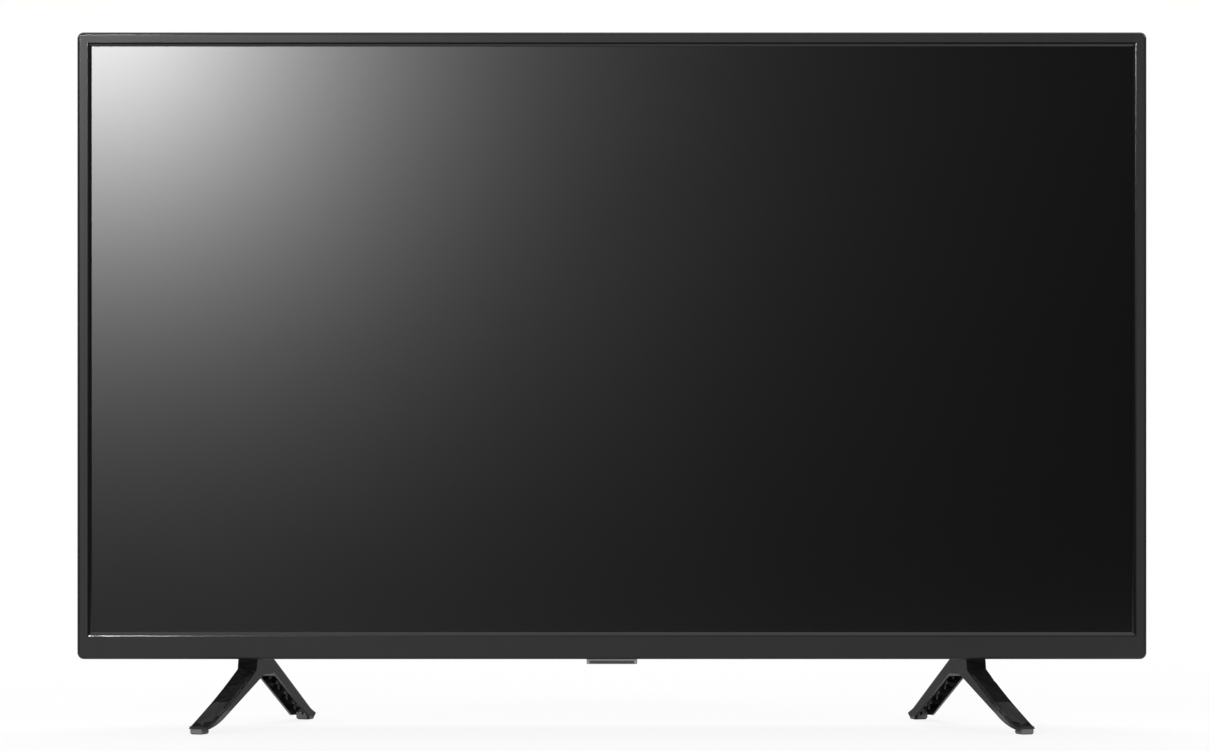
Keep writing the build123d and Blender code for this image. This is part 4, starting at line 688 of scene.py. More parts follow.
# %% Add a piece
def add_piece(name, mesh, finish, body="cabinet", stands_for=()):
    """An object for a finished mesh, riding on a body of the set."""
    mesh.materials.clear()
    mesh.materials.append(finishes[finish])
    piece = linked(name, mesh)
    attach(piece, body)
    if stands_for:
        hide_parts(*stands_for)
    print(name, "faces:", len(mesh.polygons), "open edges:", open_edges(mesh))
    return piece


def plain_mesh(maker, name):
    """What the modifiers on an object make of it, as a mesh of its own. The object is removed."""
    bpy.context.view_layer.update()
    made = bpy.data.meshes.new_from_object(
        maker.evaluated_get(bpy.context.evaluated_depsgraph_get()))
    made.name = name
    for modifier in list(maker.modifiers):
        maker.modifiers.remove(modifier)
    bpy.data.objects.remove(maker)
    return made


print("piece helpers ready")

# %% [markdown]
# Several steps below take a mesh apart into corners, edges and faces, change it and put it back.
# A solid's mesh comes as loose triangles, so the first move is always to weld its corners.

# %% Take meshes apart
weld_distance = 1 * MICRON


def taken_apart(mesh, weld=True):
    """The corners, edges and faces of a mesh, welded where they meet."""
    shape = bmesh.new()
    shape.from_mesh(mesh)
    if weld:
        bmesh.ops.remove_doubles(shape, verts=shape.verts, dist=weld_distance)
    return shape


def put_together(shape, mesh):
    """Writes the shape into a mesh and returns the mesh."""
    shape.to_mesh(mesh)
    shape.free()
    return mesh


def open_edges(mesh):
    """How many edges don't lie between exactly two faces."""
    shape = taken_apart(mesh, weld=False)
    count = sum(1 for edge in shape.edges if len(edge.link_faces) != 2)
    shape.free()
    return count


def turned_out(mesh):
    """The same mesh with its doubles merged and all its faces pointing outwards."""
    shape = taken_apart(mesh)
    bmesh.ops.recalc_face_normals(shape, faces=shape.faces)
    return put_together(shape, mesh)


print("weld distance in mm:", weld_distance / MM)

# %% [markdown]
# A smooth face next to a rounding takes on part of the rounding's slope, and a flat wall then
# looks dented. The Weighted Normal modifier lets the larger face win, so flats stay flat and only
# the rounding bends the light. Edges steeper than an angle stay sharp.

# %% Smooth a mesh and keep its flats
sharp_angle = math.radians(38)
larger_face_wins = 100


def smoothed(mesh, name, also_sharp=None):
    """A mesh with smooth shading, sharp above the angle and on the edges that a test picks."""
    mesh.shade_smooth()
    mesh.set_sharp_from_angle(angle=sharp_angle)
    if also_sharp:
        for edge in mesh.edges:
            if also_sharp(*(mesh.vertices[i].co for i in edge.vertices)):
                edge.use_edge_sharp = True
    maker = linked(name, mesh)
    weighting = maker.modifiers.new("flats", "WEIGHTED_NORMAL")
    weighting.keep_sharp = True
    weighting.weight = larger_face_wins
    return plain_mesh(maker, name)


print("sharp above degrees:", round(math.degrees(sharp_angle)))

# %% [markdown]
# ## Node trees that make shapes
# A geometry tree is a recipe with named sizes. It needs a group input for those sizes, nodes that
# make the shape, and at its end two nodes that turn copies into real faces and give them their
# finish. Each recipe below starts from the same few helpers, so that only its own idea is left.

# %% Shape tree helpers
def plain_name(label):
    return label.lower().replace(" ", "_")


def shape_tree(name, **inputs):
    """An empty geometry tree whose inputs are lengths, whole numbers, or an object."""
    tree = bpy.data.node_groups.new(name, "GeometryNodeTree")
    tree.interface.new_socket("Geometry", in_out="OUTPUT", socket_type="NodeSocketGeometry")
    for label, value in inputs.items():
        kind = {float: "Float", int: "Int"}.get(type(value), "Object")
        socket = tree.interface.new_socket(label.replace("_", " ").title(), in_out="INPUT",
                                           socket_type="NodeSocket" + kind)
        if kind != "Object":
            socket.default_value = value
    given = tree.nodes.new("NodeGroupInput").outputs
    return tree, {plain_name(socket.name): socket for socket in given if socket.name}


def end_tree(tree, geometry, finish):
    """Turns copies into faces, gives them their finish and hands them to the output."""
    real = feed(tree, add_node(tree, "GeometryNodeRealizeInstances"), geometry=geometry)
    painted = add_node(tree, "GeometryNodeSetMaterial")
    feed(tree, painted, geometry=real.outputs[0], material=finishes[finish])
    join(tree, tree.nodes.new("NodeGroupOutput").inputs[0], painted.outputs[0])
    print("tree:", tree.name, "nodes:", len(tree.nodes))
    return tree


print("shape trees end in Realize Instances and Set Material")

# %% [markdown]
# Between its start and its end a tree places points, welds them and reads other objects. Each of
# these moves is one node as well.

# %% Nodes of a shape tree
def vector_of(tree, x=0.0, y=0.0, z=0.0):
    """Three numbers or sockets as one vector."""
    return feed(tree, add_node(tree, "ShaderNodeCombineXYZ"), x=x, y=y, z=z).outputs[0]


def moved(tree, geometry, place):
    """Geometry with every point set to a place worked out for it."""
    node = add_node(tree, "GeometryNodeSetPosition")
    return feed(tree, node, geometry=geometry, position=place).outputs[0]


def merged(tree, geometry, distance):
    """Geometry whose points are welded where they lie closer than a distance."""
    node = add_node(tree, "GeometryNodeMergeByDistance")
    return feed(tree, node, geometry=geometry, distance=distance).outputs[0]


def drawn_object(tree, source):
    """The geometry of an object that the tree is given."""
    node = add_node(tree, "GeometryNodeObjectInfo")
    join(tree, node.inputs["Object"], source)
    return node.outputs["Geometry"]


print("shape helpers ready")

# %% [markdown]
# A tree works once it is on an object. It is put on one, its inputs are set, and what it makes is
# taken off as a plain mesh. A list of points goes in as the mesh of a helper object, which is
# removed again.

# %% Grow a mesh from a tree
def grown(name, tree, **values):
    """The mesh that a shape tree makes. Its inputs are set by each socket's identifier."""
    helpers = []
    for label, value in values.items():
        if isinstance(value, list):
            points = bpy.data.meshes.new(label)
            points.from_pydata([tuple(place) for place in value], [], [])
            values[label] = linked(label, points)
            helpers.append(values[label])
    maker = linked(name, bpy.data.meshes.new(name + "_start"))
    modifier = maker.modifiers.new(name, "NODES")
    modifier.node_group = tree
    for socket in tree.interface.items_tree:
        if socket.in_out == "INPUT" and plain_name(socket.name) in values:
            modifier[socket.identifier] = values[plain_name(socket.name)]
    mesh = plain_mesh(maker, name)
    for helper in helpers:
        bpy.data.objects.remove(helper)
    return turned_out(mesh)


print("a tree's inputs are set by identifier")

# %% [markdown]
# The frame, the screws and the pads share one idea: a short chain of points, the profile, goes
# round something. A sweep along a path would squeeze it in the corners. So a grid is laid whose
# rows are the points of the profile and whose columns go round, its crossings are counted to
# learn which row and column each is in, and one sum places them all. A closed profile, whose last
# point joins its first, takes one row more. Round a rectangle, each column also belongs to a
# corner and has an angle in it.

# %% Profiles that go round
quarter = math.radians(90)
corner_count = 4


def profile_grid(tree, given, around, closed=0):
    """A grid, each crossing's column, and the three values of the profile's point there."""
    sums = partial(math_node, tree)
    rows = sums("ADD", given["profile_points"], closed)
    grid = add_node(tree, "GeometryNodeMeshGrid")
    feed(tree, grid, vertices_x=sums("ADD", around, 1), vertices_y=rows)
    index = add_node(tree, "GeometryNodeInputIndex").outputs[0]
    column = sums("MODULO", sums("FLOOR", sums("DIVIDE", index, rows)), around)
    row = sums("MODULO", sums("MODULO", index, rows), given["profile_points"])
    sample = add_node(tree, "GeometryNodeSampleIndex", data_type="FLOAT_VECTOR")
    feed(tree, sample, geometry=drawn_object(tree, given["profile"]), index=row,
         value=add_node(tree, "GeometryNodeInputPosition").outputs[0])
    return grid.outputs["Mesh"], column, parts_of(tree, sample.outputs[0])


def rectangle_grid(tree, given, closed=0):
    """The same round a rectangle: the grid, the values, the side and the turn of each column."""
    sums = partial(math_node, tree)
    columns = sums("ADD", given["corner_steps"], 1)
    around = sums("MULTIPLY", columns, corner_count)
    grid, column, values = profile_grid(tree, given, around, closed)
    corner = sums("FLOOR", sums("DIVIDE", column, columns))
    step = sums("DIVIDE", sums("MODULO", column, columns), given["corner_steps"])
    angle = sums("MULTIPLY", sums("ADD", corner, step), quarter)
    towards = sums("MULTIPLY", sums("ADD", corner, 0.5), quarter)
    ways = ("COSINE", "SINE")
    return (grid, values, [sums("SIGN", sums(way, towards)) for way in ways],
            [sums(way, angle) for way in ways])


def reach(tree, size, inset, radius, side, turn):
    """How far from the middle a crossing lies, along one way of the rectangle."""
    sums = partial(math_node, tree)
    half = sums("SUBTRACT", sums("SUBTRACT", sums("MULTIPLY", size, 0.5), inset), radius)
    return sums("MULTIPLY_ADD", radius, turn, sums("MULTIPLY", sums("MAXIMUM", half, 0), side))


print("profile helpers ready")

# %% [markdown]
# ## The front frame
# On the real set the frame is one moulding with a single cross-section: a face with a rounded
# outer edge, a hollow back, and a bevel that rolls down to the panel. That section runs round a
# rectangle, with sharp corners at the opening and round ones outside, and only the bottom rail is
# deeper. It could be cut out of a block, but then the section would be hard to see and to change.
# It is drawn first, as a short chain of points. Each holds how far in it lies, how deep it lies,
# and whether its inset counts from the outside of the frame (0) or from the opening (1).

# %% Section of the frame
frame_low, frame_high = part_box("front_bezel")
frame_depth = frame_high.y - frame_low.y
edge_radius = 2.6 * MM
face_thick = 2.5 * MM
wall_thick = 2.0 * MM
bevel_width = 3.6 * MM
bevel_drop = 2.2 * MM
bevel_roll = 1.6
round_steps = 8
bevel_steps = 6


def frame_section():
    """Points as (inset, depth, counted from the opening), from the opening round to the back."""
    points = []
    for step in range(bevel_steps, -1, -1):
        share = step / bevel_steps
        points.append((-bevel_width * (1 - share), bevel_drop * share ** bevel_roll, 1))
    for step in range(round_steps + 1):
        angle = quarter * step / round_steps
        points.append((edge_radius * (1 - math.sin(angle)), edge_radius * (1 - math.cos(angle)), 0))
    return points + [(0, frame_depth, 0), (wall_thick, frame_depth, 0),
                     (wall_thick, face_thick, 0), (0, face_thick, 1)]


section = frame_section()
print("points in the section:", len(section))

# %% [markdown]
# The rails' widths follow from the panel: the frame's lip laps over its border by the same few
# millimetres on every side, and what is left to the frame's outer edge is the rail.

# %% Rails of the frame
panel_lap = 3.9 * MM
panel_low, panel_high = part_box("lcd_cell")
side_rail = frame_high.x - panel_high.x + panel_lap
top_rail = frame_high.z - panel_high.z + panel_lap
bottom_rail = panel_low.z - frame_low.z + panel_lap
print("rails in mm:", [round(rail / MM, 2) for rail in (side_rail, top_rail, bottom_rail)])

# %% [markdown]
# Rows near the outside keep the corner's radius less their inset, and rows at the opening have
# none, so their columns fall together and are merged. Faces that are neither flat nor deep get a
# mark, so that the finish can polish them as the mould does: the bevel fully, and the rounded
# outer edge by a share. The grid's faces still look inwards here, so those of the outer edge look
# towards the middle.

# %% Tree for the frame
frame_weld = 10 * MICRON
flat_at_least = 0.999


def make_frame_tree(finish):
    tree, given = shape_tree(
        "frame_moulding", profile=None, profile_points=1, corner_steps=6, width=1.0, height=1.0,
        side_rail=0.01, top_rail=0.01, bottom_rail=0.01, corner_radius=0.005, front=0.0,
        middle=0.0, polish_depth=0.001, edge_polish=0.4)
    sums = partial(math_node, tree)
    grid, (inset, depth, share), (side_x, side_z), (turn_x, turn_z) = rectangle_grid(
        tree, given, closed=1)
    is_top = sums("GREATER_THAN", side_z, 0)
    taller = sums("SUBTRACT", given["top_rail"], given["bottom_rail"])
    rail_z = sums("MULTIPLY_ADD", is_top, taller, given["bottom_rail"])
    radius = sums("MAXIMUM", sums("SUBTRACT", given["corner_radius"], inset), 0)
    radius = sums("MULTIPLY", radius, sums("SUBTRACT", 1, share))
    x = reach(tree, given["width"], sums("MULTIPLY_ADD", share, given["side_rail"], inset),
              radius, side_x, turn_x)
    z = reach(tree, given["height"], sums("MULTIPLY_ADD", share, rail_z, inset),
              radius, side_z, turn_z)
    laid = moved(tree, grid, vector_of(tree, x, sums("ADD", depth, given["front"]),
                                       sums("ADD", z, given["middle"])))

    normal = parts_of(tree, add_node(tree, "GeometryNodeInputNormal").outputs[0])
    here = parts_of(tree, add_node(tree, "GeometryNodeInputPosition").outputs[0])
    tilted = sums("LESS_THAN", sums("ABSOLUTE", normal["Y"]), flat_at_least)
    shallow = sums("LESS_THAN", here["Y"], sums("ADD", given["front"], given["polish_depth"]))
    above = sums("SUBTRACT", here["Z"], given["middle"])
    outward = sums("MULTIPLY_ADD", normal["X"], here["X"], sums("MULTIPLY", normal["Z"], above))
    less = sums("MULTIPLY", sums("LESS_THAN", outward, 0),
                sums("SUBTRACT", 1, given["edge_polish"]))
    mark = add_node(tree, "GeometryNodeStoreNamedAttribute", data_type="FLOAT", domain="FACE")
    feed(tree, mark, geometry=merged(tree, laid, frame_weld), name="polish",
         value=sums("MULTIPLY", sums("MULTIPLY", tilted, shallow), sums("SUBTRACT", 1, less)))
    return end_tree(tree, mark.outputs[0], finish)


corner_radius = 6.0 * MM
frame_mesh = grown(
    "frame_grown", make_frame_tree("frame_black"), profile=section, profile_points=len(section),
    corner_steps=8, width=frame_high.x - frame_low.x, height=frame_high.z - frame_low.z,
    side_rail=side_rail, top_rail=top_rail, bottom_rail=bottom_rail,
    corner_radius=corner_radius, front=frame_low.y, middle=(frame_low.z + frame_high.z) / 2,
    polish_depth=edge_radius, edge_polish=0.4)
print("faces:", len(frame_mesh.polygons), "open edges:", open_edges(frame_mesh))

# %% [markdown]
# The grown frame still lacks the slot in its underside that the receiver's neck passes through.
# A Boolean modifier cuts it with a box a little larger than the neck, which is read from the
# receiver's housing: the neck is the part of it that rises above the frame's lower wall.

# %% Cut the slot in the frame
neck_clear = 0.3 * MM


def box_mesh(name, low, high):
    """A closed box between two corners."""
    shape = bmesh.new()
    bmesh.ops.create_cube(shape, size=1.0)
    for vert in shape.verts:
        vert.co = [lo + (hi - lo) * (at + 0.5) for lo, hi, at in zip(low, high, vert.co)]
    return put_together(shape, bpy.data.meshes.new(name))


def cut_by(mesh, cutter_mesh, name):
    """A mesh less a cutter, by an exact Boolean."""
    cutter = linked(name + "_cutter", cutter_mesh)
    maker = linked(name, mesh)
    cut = maker.modifiers.new("cut", "BOOLEAN")
    cut.object = cutter
    cut.operation = "DIFFERENCE"
    cut.solver = "EXACT"
    made = plain_mesh(maker, name)
    bpy.data.objects.remove(cutter)
    return made


neck = [vert.co for vert in nodes["receiver_housing"].data.vertices
        if vert.co.z > frame_low.z + wall_thick]
slot_low = (min(p.x for p in neck) - neck_clear, min(p.y for p in neck) - neck_clear,
            frame_low.z - wall_thick)
slot_high = (max(p.x for p in neck) + neck_clear, max(p.y for p in neck) + neck_clear,
             frame_low.z + 2 * wall_thick)
frame_mesh = cut_by(frame_mesh, box_mesh("neck_slot", slot_low, slot_high), "frame_cut")
print("slot in mm:", [round((b - a) / MM, 1) for a, b in zip(slot_low, slot_high)])

# %% [markdown]
# At the corners of the opening the bevels of two rails meet in a mitre. Near the face they meet
# at less than the sharp angle, so smoothing would bend the light along the whole rail. The mitre
# is the only edge there that runs slantwise, which is how it is found and kept sharp.

# %% Keep the mitres sharp
mitre_reach = side_rail - bevel_width - 0.1 * MM
least_slant = 0.3


def on_mitre(start, end):
    run = end - start
    slant = min(abs(run.x), abs(run.z))
    inside = frame_high.x - max(abs(start.x), abs(end.x)) > mitre_reach
    return inside and slant > least_slant * run.length


add_piece("face_frame", smoothed(frame_mesh, "face_frame", on_mitre), "frame_black",
          stands_for=["front_bezel"])

# %% [markdown]
# ## Softened mouldings
# No mould leaves a knife edge: every corner of the stands, the rear cover, the receiver's bar and
# the power key has a radius of a few tenths of a millimetre, and it is that radius that draws the
# thin bright line along a black plastic edge. The edges could be faked by a normal in the
# shader, but a grazing view would show them sharp. So each solid is copied, the splits in its
# flats are dissolved, and a Bevel modifier rounds whatever is sharper than an angle.

# %% Soften a moulding
flat_angle = 0.002
soft_angle = math.radians(32)


def clean_copy(node_name):
    """A merged copy of a solid's mesh, with one face for each flat."""
    shape = taken_apart(nodes[node_name].data)
    bmesh.ops.dissolve_limit(shape, angle_limit=flat_angle, verts=shape.verts, edges=shape.edges)
    mesh = put_together(shape, bpy.data.meshes.new(node_name + "_clean"))
    if "custom_normal" in mesh.attributes:
        mesh.attributes.remove(mesh.attributes["custom_normal"])
    return mesh


def softened(piece_name, node_name, radius_mm, finish, body="cabinet"):
    """A piece that stands for a solid, with its sharp edges rounded."""
    maker = linked(piece_name, clean_copy(node_name))
    rounding = maker.modifiers.new("round", "BEVEL")
    rounding.width = radius_mm * MM
    rounding.segments = 2
    rounding.limit_method = "ANGLE"
    rounding.angle_limit = soft_angle
    mesh = smoothed(plain_mesh(maker, piece_name), piece_name)
    return add_piece(piece_name, mesh, finish, body, [node_name])


# In each row: piece, solid, radius of the edges in mm, finish.
legs = [softened("left_leg", "stand_left", 0.35, "leg_gloss"),
        softened("right_leg", "stand_right", 0.35, "leg_gloss")]
softened("receiver_bar", "receiver_housing", 0.3, "pod_grey")
softened("sensor_window", "receiver_window", 0.15, "smoked_window")
softened("power_key", "power_button", 0.3, "pod_grey", body="key")
softened("heel_blocks", "rear_pads", 0.3, "pad_rubber")
softened("back_shell", "rear_cover", 0.3, "cover_black")

# %% [markdown]
# ## Screws
# Every screw on the set has a low domed head with a cross pressed into it, and no two crosses
# stop at the same angle. A cross could be modelled once and copied by hand, but there are over
# twenty places. So a tree turns a drawn profile about an axis, cuts the cross out of it, and sets
# a copy on each place with a turn of its own from a fixed seed. The places are read from the
# solids: screws of one kind are separate islands of one mesh.

# %% Read the places of screws
def islands(node_name):
    """The low corner, the high corner and the places of each separate solid under one name."""
    shape = taken_apart(nodes[node_name].data)
    found, seen_verts = [], set()
    for vert in shape.verts:
        if vert in seen_verts:
            continue
        stack, places = [vert], []
        seen_verts.add(vert)
        while stack:
            here = stack.pop()
            places.append(here.co.copy())
            for edge in here.link_edges:
                other = edge.other_vert(here)
                if other not in seen_verts:
                    seen_verts.add(other)
                    stack.append(other)
        found.append((Vector(min(p[i] for p in places) for i in range(3)),
                      Vector(max(p[i] for p in places) for i in range(3)), places))
    shape.free()
    return found


screw_groups = {name: islands(name) for name in ("cover_screws", "stand_screws", "board_screws")}
print("screws:", {name: len(found) for name, found in screw_groups.items()})

# %% [markdown]
# The head and the shank of each screw are measured on its solid: the widest ring is the head, the
# far end is the point. The profile is drawn from those sizes with the axis as its height, head
# upwards, and ends in a short cone as a real screw does.

# %% Profile of a screw
rim_share = 0.9
under_clear = 0.1 * MM
dome_steps, dome_share, dome_round = 5, 0.7, 0.8
cone_share, tip_share = 0.8, 0.35


def measured_screw(found, out_axis):
    """Head radius, head thickness, shank radius and length, and the places of the heads."""
    axis = max(range(3), key=lambda i: abs(out_axis[i]))
    side = out_axis[axis]
    low, high, places = found[0]
    centre = (low + high) / 2
    others = [i for i in range(3) if i != axis]
    radii = [math.hypot(*(p[i] - centre[i] for i in others)) for p in places]
    along = [p[axis] * side for p in places]
    head_radius = max(radii)
    top = max(along)
    under = min(a for a, r in zip(along, radii) if r > rim_share * head_radius)
    shank = max(r for a, r in zip(along, radii) if a < under - under_clear)
    heads = []
    for low, high, _ in found:
        place = (low + high) / 2
        place[axis] = high[axis] if side > 0 else low[axis]
        heads.append(place)
    return head_radius, top - under, shank, top - min(along), heads


def screw_profile(head_radius, head_thick, shank, length):
    """Points as (radius, 0, height) from the top of the head down to the tip."""
    points = [(0, 0, 0)]
    for step in range(1, dome_steps + 1):
        angle = quarter * step / dome_steps
        points.append((head_radius * math.sin(angle) ** dome_round, 0,
                       -dome_share * head_thick * (1 - math.cos(angle))))
    return points + [(head_radius, 0, -head_thick), (shank, 0, -head_thick),
                     (shank, 0, -length + cone_share * shank),
                     (tip_share * shank, 0, -length), (0, 0, -length)]


print("steps in the dome of a head:", dome_steps)

# %% [markdown]
# The tree lays the profile round the axis. The cross is two thin boxes let into the head by a
# Boolean node. Copies go on the places, tilted so that their heads look out, and each is then
# turned about its own axis.

# %% Tree for screws
screw_weld = 2 * MICRON


def copies_on(tree, given, shape, rotation):
    """A copy of a shape on each of the places that the tree is given."""
    points = add_node(tree, "GeometryNodeMeshToPoints")
    feed(tree, points, mesh=drawn_object(tree, given["places"]))
    copies = add_node(tree, "GeometryNodeInstanceOnPoints")
    return feed(tree, copies, points=points.outputs[0], instance=shape,
                rotation=rotation).outputs[0]


def make_screw_tree(finish):
    tree, given = shape_tree(
        "cross_screw", profile=None, places=None, profile_points=1, round_steps=20,
        recess_width=0.001, recess_length=0.003, recess_depth=0.001, tilt=0.0, seed=1)
    sums = partial(math_node, tree)
    grid, column, (radius, _, height) = profile_grid(tree, given, given["round_steps"])
    angle = sums("MULTIPLY", sums("DIVIDE", column, given["round_steps"]), 4 * quarter)
    turned = moved(tree, grid, vector_of(tree, sums("MULTIPLY", radius, sums("COSINE", angle)),
                                         sums("MULTIPLY", radius, sums("SINE", angle)), height))
    cut = add_node(tree, "GeometryNodeMeshBoolean", operation="DIFFERENCE", solver="EXACT")
    join(tree, cut.inputs[0], merged(tree, turned, screw_weld))
    deep = sums("MULTIPLY", given["recess_depth"], 2.0)
    for x, y in (("recess_length", "recess_width"), ("recess_width", "recess_length")):
        cube = feed(tree, add_node(tree, "GeometryNodeMeshCube"),
                    size=vector_of(tree, given[x], given[y], deep))
        join(tree, cut.inputs[1], cube.outputs[0])

    copies = copies_on(tree, given, cut.outputs[0], vector_of(tree, given["tilt"]))
    chance = add_node(tree, "FunctionNodeRandomValue", data_type="FLOAT")
    feed(tree, chance, max=quarter, seed=given["seed"])
    turns = add_node(tree, "GeometryNodeRotateInstances")
    feed(tree, turns, instances=copies, local_space=True,
         rotation=vector_of(tree, 0.0, 0.0, chance.outputs[1]))
    return end_tree(tree, turns.outputs[0], finish)


print("screw recipe ready")

# %% [markdown]
# The cover's screws look backwards, the boards' screws as well, and the stands' screws look down
# at the table. One tree serves each finish.

# %% Grow the screws
recess_width_share, recess_length_share, recess_depth_share = 0.26, 1.15, 0.6
backwards, downwards = -quarter, 2 * quarter


def grow_screws(piece_name, node_name, out_axis, tilt, finish, seed):
    head, thick, shank, length, heads = measured_screw(screw_groups[node_name], out_axis)
    profile = screw_profile(head, thick, shank, length)
    mesh = grown(piece_name, make_screw_tree(finish), profile=profile, places=heads,
                 profile_points=len(profile), recess_width=recess_width_share * head,
                 recess_length=recess_length_share * head,
                 recess_depth=recess_depth_share * thick, tilt=tilt, seed=seed)
    add_piece(piece_name, smoothed(mesh, piece_name), finish, stands_for=[node_name])
    print("  head and length in mm:", round(2 * head / MM, 2), round(length / MM, 2))


# In each row: piece, solid, the way that the heads look, tilt, finish, seed.
grow_screws("back_screws", "cover_screws", (0, 1, 0), backwards, "black_screw", 3)
grow_screws("leg_screws", "stand_screws", (0, 0, -1), downwards, "black_screw", 5)
grow_screws("inner_screws", "board_screws", (0, 1, 0), backwards, "plain_screw", 8)

# %% [markdown]
# ## The hollows on the toes
# The front limb ends in a long shallow hollow, like the bowl of a spoon, which catches light that
# the flat of the limb throws past the camera. The solids have its shape already. Its faces are
# found inside an oval seen from above: there they lean across the limb, which its flat doesn't,
# or lie below the line of its upper edge. The line through a stand's two screws gives the limb's
# direction.

# %% Mark the hollows
upward = 0.5
least_up = 0.4
least_lean = 0.001
least_sink = 0.3 * MM
oval_from_tip = 25.8 * MM
oval_length = 45.0 * MM
oval_width = 17.6 * MM


def mark_hollow(leg):
    side = math.copysign(1, leg.data.vertices[0].co.x)
    spots = [(low + high) / 2 for low, high, _ in screw_groups["stand_screws"]
             if low.x * side > 0]
    front, rear = sorted(spots, key=lambda p: p.y)
    along = (front - rear).normalized()
    across = Vector((-along.y, along.x, 0))
    tops = [((vert.co - rear).dot(along), vert.co.z) for vert in leg.data.vertices
            if vert.normal.z > upward]
    tip, tip_height = max(tops)
    start, start_height = min(tops, key=lambda p: abs(p[0] - tip + 2 * oval_from_tip))
    rise = (start_height - tip_height) / (tip - start)
    mark = leg.data.attributes.new("etched", "FLOAT", "FACE")
    for face in leg.data.polygons:
        back = tip - (face.center - rear).dot(along)
        oval = math.hypot((back - oval_from_tip) / (oval_length / 2),
                          (face.center - rear).dot(across) / (oval_width / 2))
        sink = tip_height + back * rise - face.center.z
        hollow = abs(face.normal.dot(across)) > least_lean or sink > least_sink
        mark.data[face.index].value = oval < 1 and face.normal.z > least_up and hollow
    print(leg.name, "faces in the hollow:", sum(int(item.value) for item in mark.data))


for leg in legs:
    mark_hollow(leg)

# %% [markdown]
# ## Ribbed pads under the toes
# A rubber pad grips with its foot and is held by its upper part, and its walls carry a few
# shallow ribs so that the rubber leaves its mould and bends before it creeps. The pad is one
# profile that goes round a rectangle with small round corners, so a tree lays it as it lays the
# frame's section, lets its first and last rows close into the middle, and sets a copy under each
# toe. The pads' size and turn are read from the corners of their tops.

# %% Read the pads
pad_clear = 0.1 * MM
pad_spots, pad_sizes = [], []
for low, high, places in islands("front_pads"):
    top = [p for p in places if p.z > high.z - pad_clear]
    start = min(top, key=lambda p: p.y)
    arms = sorted((p - start for p in top if (p - start).length > MM), key=lambda v: v.length)
    pad_sizes.append((arms[0], arms[1], high.z - low.z))
    pad_spots.append(Vector(((low.x + high.x) / 2, (low.y + high.y) / 2, low.z)))
short_arm, long_arm, pad_high = pad_sizes[0]
pad_turn = math.atan2(long_arm.y, long_arm.x) * math.copysign(1, pad_spots[0].x)
print("pads:", len(pad_spots), "turn:", round(math.degrees(pad_turn), 1), "size in mm:",
      [round(size / MM, 1) for size in (long_arm.length, short_arm.length, pad_high)])

# %% [markdown]
# The profile starts in the middle of the foot, turns up round a small slant, climbs the ribbed
# wall and ends in the middle of the top. Ribs that would pass the top are left out.

# %% Profile of a pad
pad_foot = 1.3 * MM
rib_start = 0.2 * MM
rib_depth = 0.3 * MM
rib_pitch = 0.9 * MM
rib_shape = ((0.15, 0), (0.3, rib_depth), (0.7, rib_depth), (0.85, 0))
pad_ribs = 4


def pad_profile():
    """Points as (inset, 0, height) from the middle of the foot up to the middle of the top."""
    middle = short_arm.length / 2
    points = [(middle, 0, 0), (pad_foot, 0, 0), (0, 0, pad_foot)]
    for rib in range(pad_ribs):
        base = pad_foot + rib_start + rib * rib_pitch
        points += [(inset, 0, base + share * rib_pitch) for share, inset in rib_shape
                   if base + share * rib_pitch < pad_high - pad_clear]
    return points + [(0, 0, pad_high), (middle, 0, pad_high)]


print("points in the profile:", len(pad_profile()))

# %% [markdown]
# The stands turn outwards, one to each side, so a pad's turn takes the sign of its place.

# %% Tree for the pads
pad_weld = 5 * MICRON
pad_corner = 0.8 * MM


def make_pad_tree(finish):
    tree, given = shape_tree(
        "ribbed_pad", profile=None, places=None, profile_points=1, corner_steps=4, length=0.01,
        width=0.01, corner_radius=0.001, turn=0.0)
    sums = partial(math_node, tree)
    grid, (inset, _, height), (side_x, side_y), (turn_x, turn_y) = rectangle_grid(tree, given)
    radius = sums("MAXIMUM", sums("SUBTRACT", given["corner_radius"], inset), 0)
    x = reach(tree, given["length"], inset, radius, side_x, turn_x)
    y = reach(tree, given["width"], inset, radius, side_y, turn_y)
    pad = merged(tree, moved(tree, grid, vector_of(tree, x, y, height)), pad_weld)
    here = parts_of(tree, add_node(tree, "GeometryNodeInputPosition").outputs[0])
    turn = sums("MULTIPLY", sums("SIGN", here["X"]), given["turn"])
    return end_tree(tree, copies_on(tree, given, pad, vector_of(tree, 0.0, 0.0, turn)), finish)


pad_mesh = grown("toe_pads", make_pad_tree("pad_rubber"), profile=pad_profile(),
                 places=pad_spots, profile_points=len(pad_profile()), length=long_arm.length,
                 width=short_arm.length, corner_radius=pad_corner, turn=pad_turn)
add_piece("toe_pads", smoothed(pad_mesh, "toe_pads"), "pad_rubber", stands_for=["front_pads"])

# %% [markdown]
# ## The studio
# The photograph is a cut-out kind of product shot: white all round, hardly any shadow, one soft
# lamp high on the left whose scattered image glows in the corner of the screen, and darkness
# behind the camera, which is why the rest of the screen is nearly black. A white room would turn
# the whole screen grey. So the floor and the world are white only to the rays that should see
# them, plain lamps light the set from above and both sides, and a dark cloth hangs behind the
# camera, seen by reflections alone. The floor's pale paint keeps the shadow near the set, and a
# camera below the floor sees through it.

# %% Floor
floor_half = 60.0
floor_grey, floor_roughness = grey(0.72), 0.9
shadow_reach = 1.6
shadow_keep = 0.16


def blended(tree, amount, first, second):
    """A shader that goes from the first to the second with the amount."""
    node = add_node(tree, "ShaderNodeMixShader")
    for index, value in enumerate((amount, first, second)):
        join(tree, node.inputs[index], value)
    return node.outputs[0]


